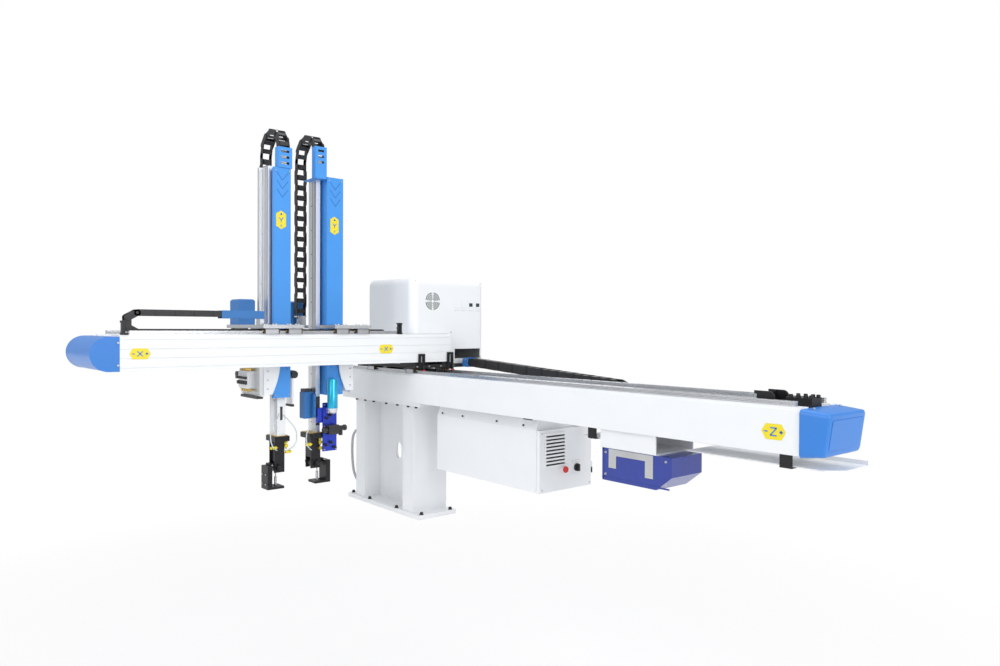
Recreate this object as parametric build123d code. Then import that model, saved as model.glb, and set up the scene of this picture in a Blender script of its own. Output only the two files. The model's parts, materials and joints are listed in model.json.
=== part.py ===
from build123d import *
import math
import os

# In-mold labeling robot: a fixed pedestal carries a traverse beam along X. A carriage on that beam
# carries a crosswise beam along Y, and on it two carriages each hold a telescopic vertical arm with a
# flip wrist. Millimetres, Z up, origin at the centre of the pedestal's foot, on its underside.

# Pedestal
foot_length = 786.0
foot_width = 260.0
foot_thickness = 25.0
pedestal_length = 632.0
pedestal_width = 234.0
pillar_width = 106.0
web_thickness = 16.0
web_slot_width = 62.0
web_slot_height = 100.0
web_slot_z = 330.0
cap_length = 860.0
cap_width = 300.0
cap_thickness = 22.0
foot_bolt_spacing_x = 260.0
foot_bolt_spacing_y = 210.0
foot_bolt_hole = 14.0

# Traverse beam
beam_bottom = 657.0
beam_height = 150.0
beam_front = -159.0
beam_width = 266.0
beam_wall = 8.0
beam_left = -420.0
beam_right = 2635.0
seat_height = 10.0
seat_width = 46.0
rail_offset_front = 32.0
rail_spacing = 201.0
rail_width = 20.0
rail_height = 18.0
rail_margin = 30.0
block_length = 77.5
block_width = 44.0
block_body = 25.4
block_gap = 4.6
guide_clearance = 0.5
belt_width = 40.0
belt_thickness = 4.0
clamp_length = 96.0
clamp_height = 34.0
stop_x = 2440.0
stop_thickness = 74.0
stop_height = 46.0
end_cover_wall = 3.0
end_cover_reach = 132.0
end_cover_foot = 96.0
end_cover_overhang = 6.0

# Traverse carriage
deck_thickness = 20.0
deck_left = -150.0
deck_right = 388.0
deck_front = -152.0
deck_rear = 383.0
saddle_height = 14.0

# Crosswise beam
cross_front = 383.0
cross_width = 150.0
cross_height = 150.0
cross_wall = 9.0
cross_left = -1659.0
cross_right = 99.0
groove_depth = 1.5
groove_width = 3.0
groove_count = 4
cross_seat_height = 7.0
cross_rail_left = -1618.0
cross_rail_right = -262.0
cross_rail_inset = 22.0
cross_cover_reach = 116.0
cross_stop_left = -1650.0
cross_stop_right = -256.0
cross_stop_length = 26.0
cross_stop_height = 62.0

# Electrical box on the traverse carriage
box_left = -152.0
box_front = -142.0
box_length = 490.0
box_width = 525.0
box_height = 495.0
box_wall = 2.5
box_corner = 46.0
box_gap = 8.0
chain_port_width = 190.0
chain_port_height = 56.0
gauge_size = 26.0
gauge_y = 216.0
gauge_pitch = 60.0
gauge_z = 1186.0

# Control cabinet under the traverse beam
cabinet_left = 470.0
cabinet_right = 1270.0
cabinet_front = -59.0
cabinet_rear = 297.0
cabinet_bottom = 291.0
cabinet_bevel = 26.0
cabinet_bevel_z = 590.0
cabinet_step_y = 100.0
cabinet_back_top = 618.0
cabinet_wall = 2.5
door_top = 588.0
door_frame = 12.0
door_thickness = 22.0
door_gap = 1.5
hinge_radius = 7.0
hinge_pin_radius = 3.0
hinge_length = 56.0
hinge_z_low = 350.0
hinge_z_high = 520.0
button_radius = 16.0
button_y = 98.0
button_z = 391.0
button_travel = 5.0
switch_y = 184.0
switch_z = 392.0
vent_y = 45.0
vent_z = 489.0
vent_width = 150.0
vent_height = 170.0

# Static generator under the beam and its hanger
hanger_left = 1747.0
hanger_right = 2034.0
hanger_front = -140.0
hanger_rear = 109.0
hanger_drop = 80.0
hanger_sheet = 5.0
unit_left = 1755.0
unit_right = 2108.0
unit_height = 134.0
unit_front = -136.0
unit_rear = 60.0
clamp_sheet = 2.5

# Cable tray
tray_left = 1560.0
tray_right = 2712.0
tray_front = -48.0
tray_rear = 176.0
tray_sheet = 4.0
tray_lip = 14.0
tray_drop = 55.0

# Energy chains: the bend radius follows from the pitch and the links in the half turn
chain_clearance = 0.4
chain_plate = 3.2
long_chain_pitch = 57.4
long_chain_turn_links = 4
long_chain_width = 60.0
long_chain_height = 48.0
long_chain_y = 213.0
trough_drop = 23.0
long_chain_loop_x = 1540.0
long_chain_start = 440.0
long_chain_rise = 33.0
trough_sheet = 3.0
trough_lip = 34.0
trough_arm_height = 86.0
cross_chain_pitch = 43.0
cross_chain_turn_links = 3
cross_chain_width = 46.0
cross_chain_height = 30.0
cross_chain_x = 308.0
cross_chain_loop_y = -1575.0
cross_chain_end = -300.0
cross_chain_bracket = -1058.0
arm_chain_pitch = 57.0
arm_chain_turn_links = 6
arm_chain_width = 60.0
arm_chain_height = 32.0
arm_chain_x = 170.0
arm_chain_top = 1992.0
arm_chain_foot = 1137.0

# Arms: both have a cheek, a first stage on it and a second stage beside the first
arm_face = 190.0
cover_sheet = 2.0
plate_rear = -84.0
plate_thickness = 18.0
plate_open_front = 215.0
plate_open_rear = -20.0
cheek_thickness = 10.0
cheek_rear = -106.0
cheek_bottom = 720.0
gusset_top_width = 86.0
gusset_foot_width = 46.0
gusset_thickness = 10.0
gusset_gap = 6.0
stage_rail_height = 13.0
stage_rail_width = 15.0
stage_block_length = 61.0
first_rail_x = 64.0
second_rail_x = 98.0
main_second_rail_x = 78.0

cover_bottom = 710.0
stage_bottom = 735.0
sub_tube_top = 1895.0
main_tube_top = 1866.0
sub_plate_near = 80.0
sub_plate_far = 131.0
main_plate_near = 4.0
main_plate_far = 208.0
sub_chain_u = 119.0
main_chain_u = 189.0
sub_wrist_u = 120.5
main_wrist_u = 193.0
sub_cheek_y = -946.0
main_cheek_y = -437.0

# Hose beside the pedestal
conduit_radius = 8.0
conduit_y = -60.0

# Shafts
button_shaft_radius = 5.0
flip_pin_radius = 6.0
shaft_clearance = 0.05

# Flip wrists
wrist_top = 505.0
wrist_flange = 27.0
flip_z = 340.0
flip_offset = 9.5
flip_hub_radius = 26.0
flip_hub_left = 79.0
flip_hub_right = 127.0
tool_foot_z = 235.0
tool_foot_reach = 90.0
tool_hole_radius = 3.3
tool_hole_spacing = 40.0

# Vacuum unit on the main arm
vacuum_x = 162.0
filter_x = 220.0
filter_radius = 27.5


def block(x0, x1, y0, y1, z0, z1):
    """A box between two corners."""
    return Pos(x0, y0, z0) * Box(x1 - x0, y1 - y0, z1 - z0, align=(Align.MIN,) * 3)


def rod(centre, direction, radius, length):
    """A cylinder from a centre point along a direction."""
    base = Plane(origin=centre, z_dir=direction)
    return base * Cylinder(radius, length, align=(Align.CENTER, Align.CENTER, Align.MIN))


def fuse(pieces):
    """One solid, or one set of solids, from a list of pieces."""
    result = pieces[0]
    for piece in pieces[1:]:
        result = result + piece
    return result


def save(name, shape):
    """Write one node's STEP file."""
    solids = shape.solids() if hasattr(shape, "solids") else [s for p in shape for s in p.solids()]
    export_step(Compound(children=list(solids)), os.path.join("parts", name + ".step"))


# Heights and places that follow from the sizes above
beam_top = beam_bottom + beam_height
beam_rear = beam_front + beam_width
rail_y_front = beam_front + rail_offset_front
rail_y_rear = rail_y_front + rail_spacing
rail_base = beam_top + seat_height
deck_bottom = rail_base + block_gap + block_body
deck_top = deck_bottom + deck_thickness
long_chain_floor = beam_bottom - trough_drop
long_chain_top = deck_top + long_chain_rise
cross_bottom = deck_top + saddle_height
cross_top = cross_bottom + cross_height
cross_rear = cross_front - cross_width
cross_rail_base = cross_top + cross_seat_height
cross_rail_x_front = cross_front - cross_rail_inset
cross_rail_x_rear = cross_rear + cross_rail_inset
plate_bottom = cross_rail_base + block_gap + block_body
plate_top = plate_bottom + plate_thickness
box_right = box_left + box_length
box_rear = box_front + box_width
box_top = deck_top + box_height
sub_arm = (sub_cheek_y, 1)
main_arm = (main_cheek_y, -1)
door_inner = cabinet_right + door_gap
door_outer = door_inner + door_thickness
hinge_x = door_outer - hinge_radius
hinge_y = cabinet_rear + hinge_radius + 0.5
X = Vector(1, 0, 0)
Y = Vector(0, 1, 0)
Z = Vector(0, 0, 1)


def turn_radius(pitch, links):
    """Radius of the circle through the pivots of a half turn of links."""
    return pitch / (2 * math.sin(math.pi / (2 * links)))


def prism(points, plane, depth):
    """A closed outline on a plane, extruded along the plane's normal."""
    face = make_face(Polyline(*points, close=True))
    return extrude(plane * face, depth)


def guide_rail(start, along, up, length, width, height):
    """A profile rail with a waist, standing up from a start point on its base."""
    across = up.cross(along)
    half = width / 2
    waist = 0.72 * half
    outline = [
        (-half, 0),
        (half, 0),
        (half, 0.32 * height),
        (waist, 0.45 * height),
        (waist, 0.62 * height),
        (half, 0.75 * height),
        (half, height),
        (-half, height),
        (-half, 0.75 * height),
        (-waist, 0.62 * height),
        (-waist, 0.45 * height),
        (-half, 0.32 * height),
    ]
    return prism(outline, Plane(origin=start, x_dir=across, z_dir=along), length)


def guide_block(centre, along, up, length, width, body, gap, rail_size):
    """A guide block that straddles its rail with a running clearance."""
    across = up.cross(along)
    slot_width = rail_size[0] + 2 * guide_clearance
    slot_top = rail_size[1] + guide_clearance
    seat = Align.MIN
    shape = Pos(0, gap, 0) * Box(width, body, length, align=(Align.CENTER, seat, Align.CENTER))
    slot = Pos(0, gap - 1, 0) * Box(
        slot_width, slot_top - gap + 1, length + 2, align=(Align.CENTER, seat, Align.CENTER)
    )
    return Plane(origin=centre, x_dir=across, z_dir=along) * (shape - slot)


def chain_link(pitch, width, height, kind):
    """One link along local X with its pivots at 0 and pitch: two side plates and two cross bars.

    A straight link has square plates that meet the next one, an outer link has long plates outside
    its neighbours' and an inner link has them inside.
    """
    inset = chain_plate + chain_clearance if kind == "inner" else 0.0
    outside = width / 2 - inset
    if kind == "straight":
        low = chain_clearance / 2
        outline = [(low, -1), (pitch - low, -1), (pitch - low, 1), (low, 1)]
        outline = [(u, v * height / 2) for u, v in outline]
    else:
        reach = height / 2
        corner = 0.42 * reach
        outline = [
            (-reach, -corner),
            (-corner, -reach),
            (pitch + corner, -reach),
            (pitch + reach, -corner),
            (pitch + reach, corner),
            (pitch + corner, reach),
            (-corner, reach),
            (-reach, corner),
        ]
    plates = []
    for low_y in (-outside, outside - chain_plate):
        side = Plane(origin=(0, low_y + chain_plate, 0), x_dir=(1, 0, 0), z_dir=(0, -1, 0))
        plates.append(prism(outline, side, chain_plate))
    bar_length = pitch - height - 4
    bars = []
    for level in (-height / 2, height / 2 - chain_plate):
        bars.append(
            block(
                (pitch - bar_length) / 2,
                (pitch + bar_length) / 2,
                -outside + chain_plate / 2,
                outside - chain_plate / 2,
                level,
                level + chain_plate,
            )
        )
    return fuse(plates + bars)


def put_link(link, point, direction, across):
    """Place a link with its first pivot at a point, pointing along a direction."""
    along = Vector(*direction).normalized()
    return Plane(origin=point, x_dir=along, z_dir=along.cross(Vector(*across))) * link


def chain_run(size, start, direction, count, across, kind="straight"):
    """A straight row of links: size is pitch, width and height."""
    link = chain_link(*size, kind)
    along = Vector(*direction).normalized()
    return [put_link(link, Vector(*start) + along * (size[0] * i), along, across) for i in range(count)]


def chain_turn(size, centre, first, second, turn_links, across, kinds=("inner", "outer")):
    """A half turn of links from centre + first through centre + second to centre - first."""
    radius = turn_radius(size[0], turn_links)
    links = [chain_link(*size, kind) for kind in kinds]
    points = []
    for i in range(turn_links + 1):
        angle = math.pi * i / turn_links
        radial = Vector(*first) * math.cos(angle) + Vector(*second) * math.sin(angle)
        points.append(Vector(*centre) + radial * radius)
    placed = []
    for i in range(turn_links):
        placed.append(put_link(links[i % 2], points[i], points[i + 1] - points[i], across))
    return placed


def pedestal():
    """Foot plate, two hollow pillars joined by a web with an oblong hole, and the cap plate."""
    half_x = pedestal_length / 2
    half_y = pedestal_width / 2
    low = foot_thickness
    high = beam_bottom - cap_thickness
    foot = block(-foot_length / 2, foot_length / 2, -foot_width / 2, foot_width / 2, 0, low)
    cap = block(-cap_length / 2, cap_length / 2, -cap_width / 2, cap_width / 2, high, beam_bottom)
    inner = half_x - pillar_width
    left = block(-half_x, -inner, -half_y, half_y, low, high)
    right = block(inner, half_x, -half_y, half_y, low, high)
    web = block(-inner, inner, -web_thickness / 2, web_thickness / 2, low, high)
    slot = extrude(
        Plane(origin=(0, web_thickness, web_slot_z), x_dir=(0, 0, 1), z_dir=(0, -1, 0))
        * SlotOverall(web_slot_height, web_slot_width),
        2 * web_thickness,
    )
    body = fuse([foot, cap, left, right, web]) - slot
    for sx in (-1, 1):
        for sy in (-1, 1):
            place = (sx * foot_bolt_spacing_x / 2, sy * foot_bolt_spacing_y / 2, -1)
            body -= rod(place, Z, foot_bolt_hole / 2, foot_thickness + 2)
    return body


def traverse_beam():
    """Rectangular tube with a closed left end and two raised seats for the guide rails."""
    wall = beam_wall
    tube = block(beam_left, beam_right, beam_front, beam_rear, beam_bottom, beam_top)
    tube -= block(
        beam_left + wall,
        beam_right + 1,
        beam_front + wall,
        beam_rear - wall,
        beam_bottom + wall,
        beam_top - wall,
    )
    half = seat_width / 2
    seats = [
        block(beam_left, beam_right, y - half, y + half, beam_top, rail_base)
        for y in (rail_y_front, rail_y_rear)
    ]
    return fuse([tube] + seats)


def traverse_rails():
    """The two profile rails of the traverse."""
    length = beam_right - beam_left - 2 * rail_margin
    return [
        guide_rail((beam_left + rail_margin, y, rail_base), X, Z, length, rail_width, rail_height)
        for y in (rail_y_front, rail_y_rear)
    ]


def traverse_belt():
    """The toothed belt that lies between the rails, held by its clamps."""
    middle = (rail_y_front + rail_y_rear) / 2
    half = belt_width / 2
    top = beam_top + belt_thickness
    return block(beam_left + 20, beam_right - 10, middle - half, middle + half, beam_top, top)


def belt_clamps():
    """A clamp plate over each end of the belt."""
    middle = (rail_y_front + rail_y_rear) / 2
    half = belt_width / 2 + 14
    low = beam_top + belt_thickness
    clamps = []
    for x0 in (beam_left + 20, beam_right - 10 - clamp_length):
        bar = block(x0, x0 + clamp_length, middle - half, middle + half, low, beam_top + clamp_height)
        for side in (-1, 1):
            y0 = middle + side * (half - 5) - 5
            bar += block(x0, x0 + clamp_length, y0, y0 + 10, beam_top, low)
        clamps.append(bar)
    return clamps


def traverse_end_stops():
    """A rounded buffer plate at each end of the travel, standing between the rails."""
    middle = (rail_y_front + rail_y_rear) / 2
    inside = (rail_spacing - seat_width) / 2 - 4
    foot = belt_width / 2 + 6
    stops = []
    for x0 in (beam_left + 140, stop_x):
        bar = block(x0, x0 + stop_thickness, middle + foot, middle + inside, beam_top, beam_top + 14)
        upright = block(
            x0,
            x0 + 16,
            middle + foot,
            middle + inside,
            beam_top + 14,
            beam_top + stop_height,
        )
        stops.append(fuse([bar, upright]))
    return stops


def end_cover_body(inset):
    """The blue cover's form at the beam's right end: a block that tapers to a slanted face."""
    over = end_cover_overhang
    y0 = beam_front - over + inset
    y1 = beam_rear + over - inset
    z0 = beam_bottom - over + inset
    z1 = beam_top + over - inset
    taper = 10.0
    reach_top = beam_right + end_cover_reach - inset
    reach_foot = beam_right + end_cover_foot - inset
    base = Plane(origin=(beam_right, (y0 + y1) / 2, (z0 + z1) / 2), x_dir=(0, 1, 0), z_dir=(1, 0, 0))
    rise = z1 - z0 - 2 * taper
    lean = Vector(reach_top - reach_foot, 0, rise)
    centre = ((reach_top + reach_foot) / 2, (y0 + y1) / 2, (z0 + z1) / 2)
    end = Plane(origin=centre, x_dir=(0, 1, 0), z_dir=Vector(0, 1, 0).cross(lean).normalized())
    corner = 16.0
    first = base * RectangleRounded(y1 - y0, z1 - z0, corner)
    last = end * RectangleRounded(y1 - y0 - 2 * taper, lean.length, corner)
    return loft([first, last]), end, (y1 - y0 - 2 * taper, lean.length)


def beam_end_cover():
    """Hollow end cover with a raised border on its face."""
    outer, end, size = end_cover_body(0.0)
    inner, _, _ = end_cover_body(end_cover_wall)
    border = RectangleRounded(size[0] - 44, size[1] - 36, 12)
    border -= RectangleRounded(size[0] - 60, size[1] - 52, 8)
    return outer - inner + extrude(end * border, 2.5)


def chain_trough():
    """The sheet trough behind the beam that the long chain lies in, on arms from the beam."""
    half = long_chain_width / 2 + 6
    low = long_chain_floor - trough_sheet
    y0 = long_chain_y - half
    y1 = long_chain_y + half
    x0 = deck_left + 60
    x1 = beam_right
    floor = block(x0, x1, y0, y1, low, long_chain_floor)
    near = block(x0, x1, y0, y0 + trough_sheet, low, long_chain_floor + trough_lip)
    far = block(x0, x1, y1 - trough_sheet, y1, low, long_chain_floor + trough_lip)
    pieces = [floor, near, far]
    first = cap_length / 2 + 20
    for x in (first, (first + x1 - 160) / 2, x1 - 160):
        pieces.append(block(x, x + 40, beam_rear, y1, low - 6, low))
        pieces.append(block(x, x + 40, beam_rear, beam_rear + 6, low, low + trough_arm_height))
    return fuse(pieces)


def cabinet_outline(inset):
    """The cabinet's end outline in Y and Z, with its bevelled front edge."""
    y0 = cabinet_front + inset
    y1 = cabinet_rear - inset
    z0 = cabinet_bottom + inset
    z1 = beam_bottom - inset
    return [
        (y0, z0),
        (y1, z0),
        (y1, cabinet_back_top - inset),
        (cabinet_step_y - inset, cabinet_back_top - inset),
        (cabinet_step_y - inset, z1),
        (y0 + cabinet_bevel, z1),
        (y0, cabinet_bevel_z),
    ]


def yz_plane(x):
    """A plane at x whose local axes are Y and Z."""
    return Plane(origin=(x, 0, 0), x_dir=(0, 1, 0), z_dir=(1, 0, 0))


def control_cabinet():
    """Sheet cabinet under the beam with a framed opening at its right end for the door."""
    length = cabinet_right - cabinet_left
    wall = cabinet_wall
    shell = prism(cabinet_outline(0.0), yz_plane(cabinet_left), length)
    inside = prism(cabinet_outline(wall), yz_plane(cabinet_left + wall), length - 2 * wall)
    opening = block(
        cabinet_right - wall - 1,
        cabinet_right + 1,
        cabinet_front + door_frame,
        cabinet_rear - door_frame,
        cabinet_bottom + door_frame,
        door_top - door_frame,
    )
    return shell - inside - opening


def cabinet_door():
    """End door with a vent, the switch plate, the button's collar and its hinge leaves."""
    wall = cabinet_wall
    rear = cabinet_rear - 1
    door = block(door_inner, door_outer, cabinet_front, rear, cabinet_bottom, door_top)
    door -= block(
        door_inner - 1,
        door_outer - wall,
        cabinet_front + wall,
        rear - wall,
        cabinet_bottom + wall,
        door_top - wall,
    )
    vent = block(
        door_outer,
        door_outer + 3,
        vent_y - vent_width / 2,
        vent_y + vent_width / 2,
        vent_z - vent_height / 2,
        vent_z + vent_height / 2,
    )
    door += vent
    slots = 9
    for i in range(slots):
        z = vent_z + (i - (slots - 1) / 2) * vent_height / (slots + 1)
        door -= block(
            door_outer - door_thickness / 2,
            door_outer + 4,
            vent_y - vent_width / 2 + 12,
            vent_y + vent_width / 2 - 12,
            z - 4,
            z + 4,
        )
    door += block(door_outer, door_outer + 8, switch_y - 28, switch_y + 28, switch_z - 33, switch_z + 33)
    door += rod((door_outer - cabinet_wall, button_y, button_z), X, button_radius - 4.5, 9 + cabinet_wall)
    bore = button_shaft_radius + shaft_clearance
    door -= rod((door_inner - 2, button_y, button_z), X, bore, door_thickness + 20)
    door -= rod((door_inner - 2, switch_y, switch_z), X, bore, door_thickness + 20)
    for z in (hinge_z_low, hinge_z_high):
        low = z + hinge_length / 2 + 0.3
        high = z + hinge_length
        door += block(door_inner + 2, hinge_x, cabinet_rear - 3.5, cabinet_rear + 3, low, high)
        door += rod((hinge_x, hinge_y, low), Z, hinge_radius, high - low)
        door -= rod((hinge_x, hinge_y, low - 1), Z, hinge_pin_radius + shaft_clearance, high - low + 2)
    return door


def door_hinges():
    """The fixed leaves on the cabinet, each with its lower knuckle and the pin."""
    leaves = []
    for z in (hinge_z_low, hinge_z_high):
        high = z + hinge_length / 2
        leaf = block(cabinet_right - 30, hinge_x, cabinet_rear, cabinet_rear + 2.5, z, high)
        leaf += rod((hinge_x, hinge_y, z), Z, hinge_radius, high - z)
        leaf += rod((hinge_x, hinge_y, z), Z, hinge_pin_radius, hinge_length)
        leaves.append(leaf)
    return leaves


def stop_button():
    """Mushroom button on its stem."""
    face = door_outer + 9 + button_travel + 1
    head = rod((face, button_y, button_z), X, button_radius, 9)
    head = fillet(head.edges().filter_by(GeomType.CIRCLE).sort_by(Axis.X)[-1], 4)
    stem = rod((door_inner + 4, button_y, button_z), X, button_shaft_radius, face - door_inner - 4)
    return head + stem


def switch_knob():
    """Rotary main switch knob with its grip bar."""
    face = door_outer + 8.3
    disc = rod((face, switch_y, switch_z), X, 19, 7)
    grip = block(face + 7, face + 20, switch_y - 5, switch_y + 5, switch_z - 17, switch_z + 17)
    stem = rod((door_inner + 4, switch_y, switch_z), X, button_shaft_radius, face - door_inner - 4)
    return fuse([disc, grip, stem])


def instrument_hanger():
    """Open-ended sheet channel under the beam that carries the static generator."""
    low = beam_bottom - hanger_drop
    sheet = hanger_sheet
    outer = block(hanger_left, hanger_right, hanger_front, hanger_rear, low, beam_bottom)
    inner = block(
        hanger_left - 1,
        hanger_right + 1,
        hanger_front + sheet,
        hanger_rear - sheet,
        low + sheet,
        beam_bottom - sheet,
    )
    outer = fillet(outer.edges().filter_by(Axis.X), 6)
    return outer - inner


def static_generator():
    """The generator's casing with its raked lower front."""
    top = beam_bottom - hanger_drop
    low = top - unit_height
    outline = [
        (unit_left, low),
        (unit_right - 74, low),
        (unit_right, low + 58),
        (unit_right, top),
        (unit_left, top),
    ]
    plane = Plane(origin=(0, unit_rear, 0), x_dir=(1, 0, 0), z_dir=(0, -1, 0))
    return prism(outline, plane, unit_rear - unit_front)


def generator_clamp():
    """Zinc sheet yoke with two legs on the generator's front side."""
    top = beam_bottom - hanger_drop - 1
    x0 = unit_left + 36
    x1 = unit_right - 88
    y1 = unit_front
    y0 = y1 - clamp_sheet
    bar = block(x0, x1, y0, y1, top - 26, top)
    left = block(x0, x0 + 40, y0, y1, top - 78, top - 26)
    right = block(x1 - 40, x1, y0, y1, top - 92, top - 26)
    return fuse([bar, left, right])


def cable_tray():
    """Folded tray under the right half of the beam, with a pointed end."""
    top = beam_bottom - tray_drop
    low = top - tray_sheet
    outline = [
        (tray_left, tray_front),
        (tray_right - 50, tray_front),
        (tray_right, tray_front + 60),
        (tray_right, tray_rear),
        (tray_left, tray_rear),
    ]
    floor = prism(outline, Plane(origin=(0, 0, low), x_dir=(1, 0, 0), z_dir=(0, 0, 1)), tray_sheet)
    back = block(tray_left, tray_right, tray_rear - tray_sheet, tray_rear, low, top + tray_lip)
    tray = floor + back
    return tray - block(
        hanger_left - 4,
        unit_right + 6,
        tray_front - 1,
        tray_rear - tray_sheet - 2,
        low - 1,
        top + tray_lip,
    )


def tray_brackets():
    """Angle brackets that hang the tray from the beam's underside."""
    top = beam_bottom - tray_drop
    low = top - tray_sheet
    brackets = []
    for x in (tray_left + 40, tray_right - 205):
        foot = block(x, x + 46, tray_front - 10, tray_front + 60, low - 6, low)
        upright = block(x, x + 46, tray_front - 10, tray_front - 4, low, beam_bottom)
        brackets.append(foot + upright)
    return brackets


def traverse_carriage_plate():
    """Deck plate of the traverse with a window for the drive and saddles for the crosswise beam."""
    middle = (rail_y_front + rail_y_rear) / 2
    deck = block(deck_left, deck_right, deck_front, deck_rear, deck_bottom, deck_top)
    deck -= block(-70, 30, middle - 45, middle + 45, deck_bottom - 1, deck_top + 1)
    saddles = []
    for y0 in (deck_front, cross_right - 60):
        saddles.append(block(cross_rear, cross_front, y0, y0 + 50, deck_top, cross_bottom))
    return fuse([deck] + saddles)


def traverse_guide_blocks():
    """Four guide blocks under the deck."""
    blocks = []
    for x in (deck_left + 60, deck_right - 60):
        for y in (rail_y_front, rail_y_rear):
            size = (block_length, block_width, block_body, block_gap, (rail_width, rail_height))
            blocks.append(guide_block((x, y, rail_base), X, Z, *size))
    return blocks


def traverse_motor():
    """Upright servo motor on its gearbox, with the belt pulley in the deck's window."""
    middle = (rail_y_front + rail_y_rear) / 2
    pulley_radius = 24.0
    pulley_z = beam_top + belt_thickness + 1 + pulley_radius
    flange = block(-80, 40, middle - 55, middle + 55, deck_top, deck_top + 10)
    gearbox = block(-52, 12, middle - 2, middle + 40, pulley_z - 16, deck_top + 90)
    pulley = rod((-20, middle - 38, pulley_z), Y, pulley_radius, 32)
    shaft = rod((-20, middle - 10, pulley_z), Y, 8, 20)
    body = block(-60, 20, middle - 40, middle + 40, deck_top + 60, deck_top + 210)
    window = block(-64, 24, middle - 44, middle - 2, deck_top - 1, deck_top + 11)
    return fuse([flange - window, gearbox, pulley, shaft, body])


def cross_beam():
    """Crosswise box extrusion with grooves on its front and two raised rail seats."""
    wall = cross_wall
    tube = block(cross_rear, cross_front, cross_left, cross_right, cross_bottom, cross_top)
    tube -= block(
        cross_rear + wall,
        cross_front - wall,
        cross_left - 1,
        cross_right - wall,
        cross_bottom + wall,
        cross_top - wall,
    )
    for i in range(groove_count):
        z = cross_bottom + 14 + i * (cross_height - 28) / (groove_count - 1)
        tube -= block(
            cross_front - groove_depth,
            cross_front + 1,
            cross_left - 1,
            cross_right + 1,
            z - groove_width / 2,
            z + groove_width / 2,
        )
    half = rail_width / 2 + 3
    seats = []
    for x in (cross_rail_x_front, cross_rail_x_rear):
        seats.append(
            block(x - half, min(x + half, cross_front), cross_left, cross_right, cross_top, cross_rail_base)
        )
    return fuse([tube] + seats)


def cross_rails():
    """The two profile rails of the crosswise beam."""
    length = cross_rail_right - cross_rail_left
    return [
        guide_rail((x, cross_rail_left, cross_rail_base), Y, Z, length, rail_width, rail_height)
        for x in (cross_rail_x_front, cross_rail_x_rear)
    ]


def cross_end_stops():
    """Buffer angles at the two ends of the crosswise rails."""
    stops = []
    for y0 in (cross_stop_left, cross_stop_right):
        for x in (cross_rail_x_front, cross_rail_x_rear):
            foot = block(
                x - 20, x + 20, y0, y0 + cross_stop_length, cross_rail_base, cross_rail_base + 10
            )
            face = block(
                x - 16,
                x + 16,
                y0 + 6,
                y0 + cross_stop_length - 4,
                cross_rail_base + 10,
                cross_rail_base + cross_stop_height,
            )
            stops.append(foot + face)
    return stops


def half_round(inset):
    """Side outline of the crosswise beam's end cover in Y and Z."""
    radius = cross_height / 2 - inset
    z = (cross_bottom + cross_top) / 2
    y_centre = cross_left - cross_cover_reach + cross_height / 2
    arc = [
        (
            y_centre - radius * math.cos(a * math.pi / 24),
            z + radius * math.sin(a * math.pi / 24),
        )
        for a in range(-12, 13)
    ]
    return [(cross_left, z - radius)] + arc + [(cross_left, z + radius)]


def cross_end_cover():
    """Half round sheet cover over the crosswise beam's free end."""
    outer = prism(half_round(0.0), yz_plane(cross_rear), cross_width)
    inner = prism(half_round(end_cover_wall), yz_plane(cross_rear + end_cover_wall), cross_width - 6)
    return outer - inner


def electrical_box():
    """Open-bottomed sheet housing with round corners on the traverse deck."""
    def form(inset):
        shape = block(
            box_left + inset,
            box_right - inset,
            box_front + inset,
            box_rear - inset,
            deck_top if inset == 0 else deck_top - 1,
            box_top - inset,
        )
        upright = shape.edges().filter_by(Axis.Z)
        shape = fillet(upright, box_corner - inset)
        return fillet(shape.faces().sort_by(Axis.Z)[-1].edges(), box_corner - inset - 4)

    shell = form(0.0) - form(box_wall)
    shell -= block(
        cross_rear - box_gap, box_right + 1, box_front - 1, cross_right + box_gap, deck_top - 1,
        cross_top + box_gap,
    )
    low = deck_top + 28
    port = block(box_right - 8, box_right + 1, 0, chain_port_width, low, low + chain_port_height)
    return shell - Pos(0, box_rear - 34 - chain_port_width, 0) * port


def box_gauges():
    """Two small square instruments on the box's right side."""
    gauges = []
    for i in range(2):
        y = gauge_y + i * gauge_pitch
        gauges.append(
            block(box_right, box_right + 5, y, y + gauge_size, gauge_z, gauge_z + gauge_size)
        )
    return gauges


def chain_bracket():
    """Folded bracket at the deck's right edge that holds the long chain's moving end."""
    half = long_chain_width / 2 + 1
    low = long_chain_top - long_chain_height - 4
    x1 = long_chain_start - 2
    y = long_chain_y
    back = block(deck_right, deck_right + 4, y - half - 4, y + half + 4, low, long_chain_top)
    floor = block(deck_right, x1, y - half - 4, y + half + 4, low, low + 3.5)
    near = block(deck_right, x1, y - half - 4, y - half, low, long_chain_top)
    far = block(deck_right, x1, y + half, y + half + 4, low, long_chain_top)
    bracket = fuse([back, floor, near, far])
    for i in range(3):
        x = deck_right + 10 + i * (x1 - deck_right - 20) / 2
        bracket -= rod((x, y - half - 5, (low + long_chain_top) / 2), Y, 4.5, 2 * half + 12)
    return bracket


def rail_scrapers():
    """Two slotted hangers on the deck's right edge with their wiper pads on the rails."""
    hangers = []
    for y, low, high in ((rail_y_front + 17, 838.0, 928.0), (rail_y_rear + 14, 838.0, 935.0)):
        plate = block(deck_right, deck_right + 4, y - 22, y + 22, low, high)
        plate -= block(deck_right - 1, deck_right + 5, y - 5, y + 5, deck_top + 10, high - 12)
        hangers.append(plate)
    return hangers


def slanted_run(size, start, end, across):
    """A straight row of links between two points, ending at the second."""
    way = Vector(*end) - Vector(*start)
    count = int(way.length / size[0])
    first = Vector(*end) - way.normalized() * (size[0] * count)
    return chain_run(size, first, way, count, across)


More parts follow.
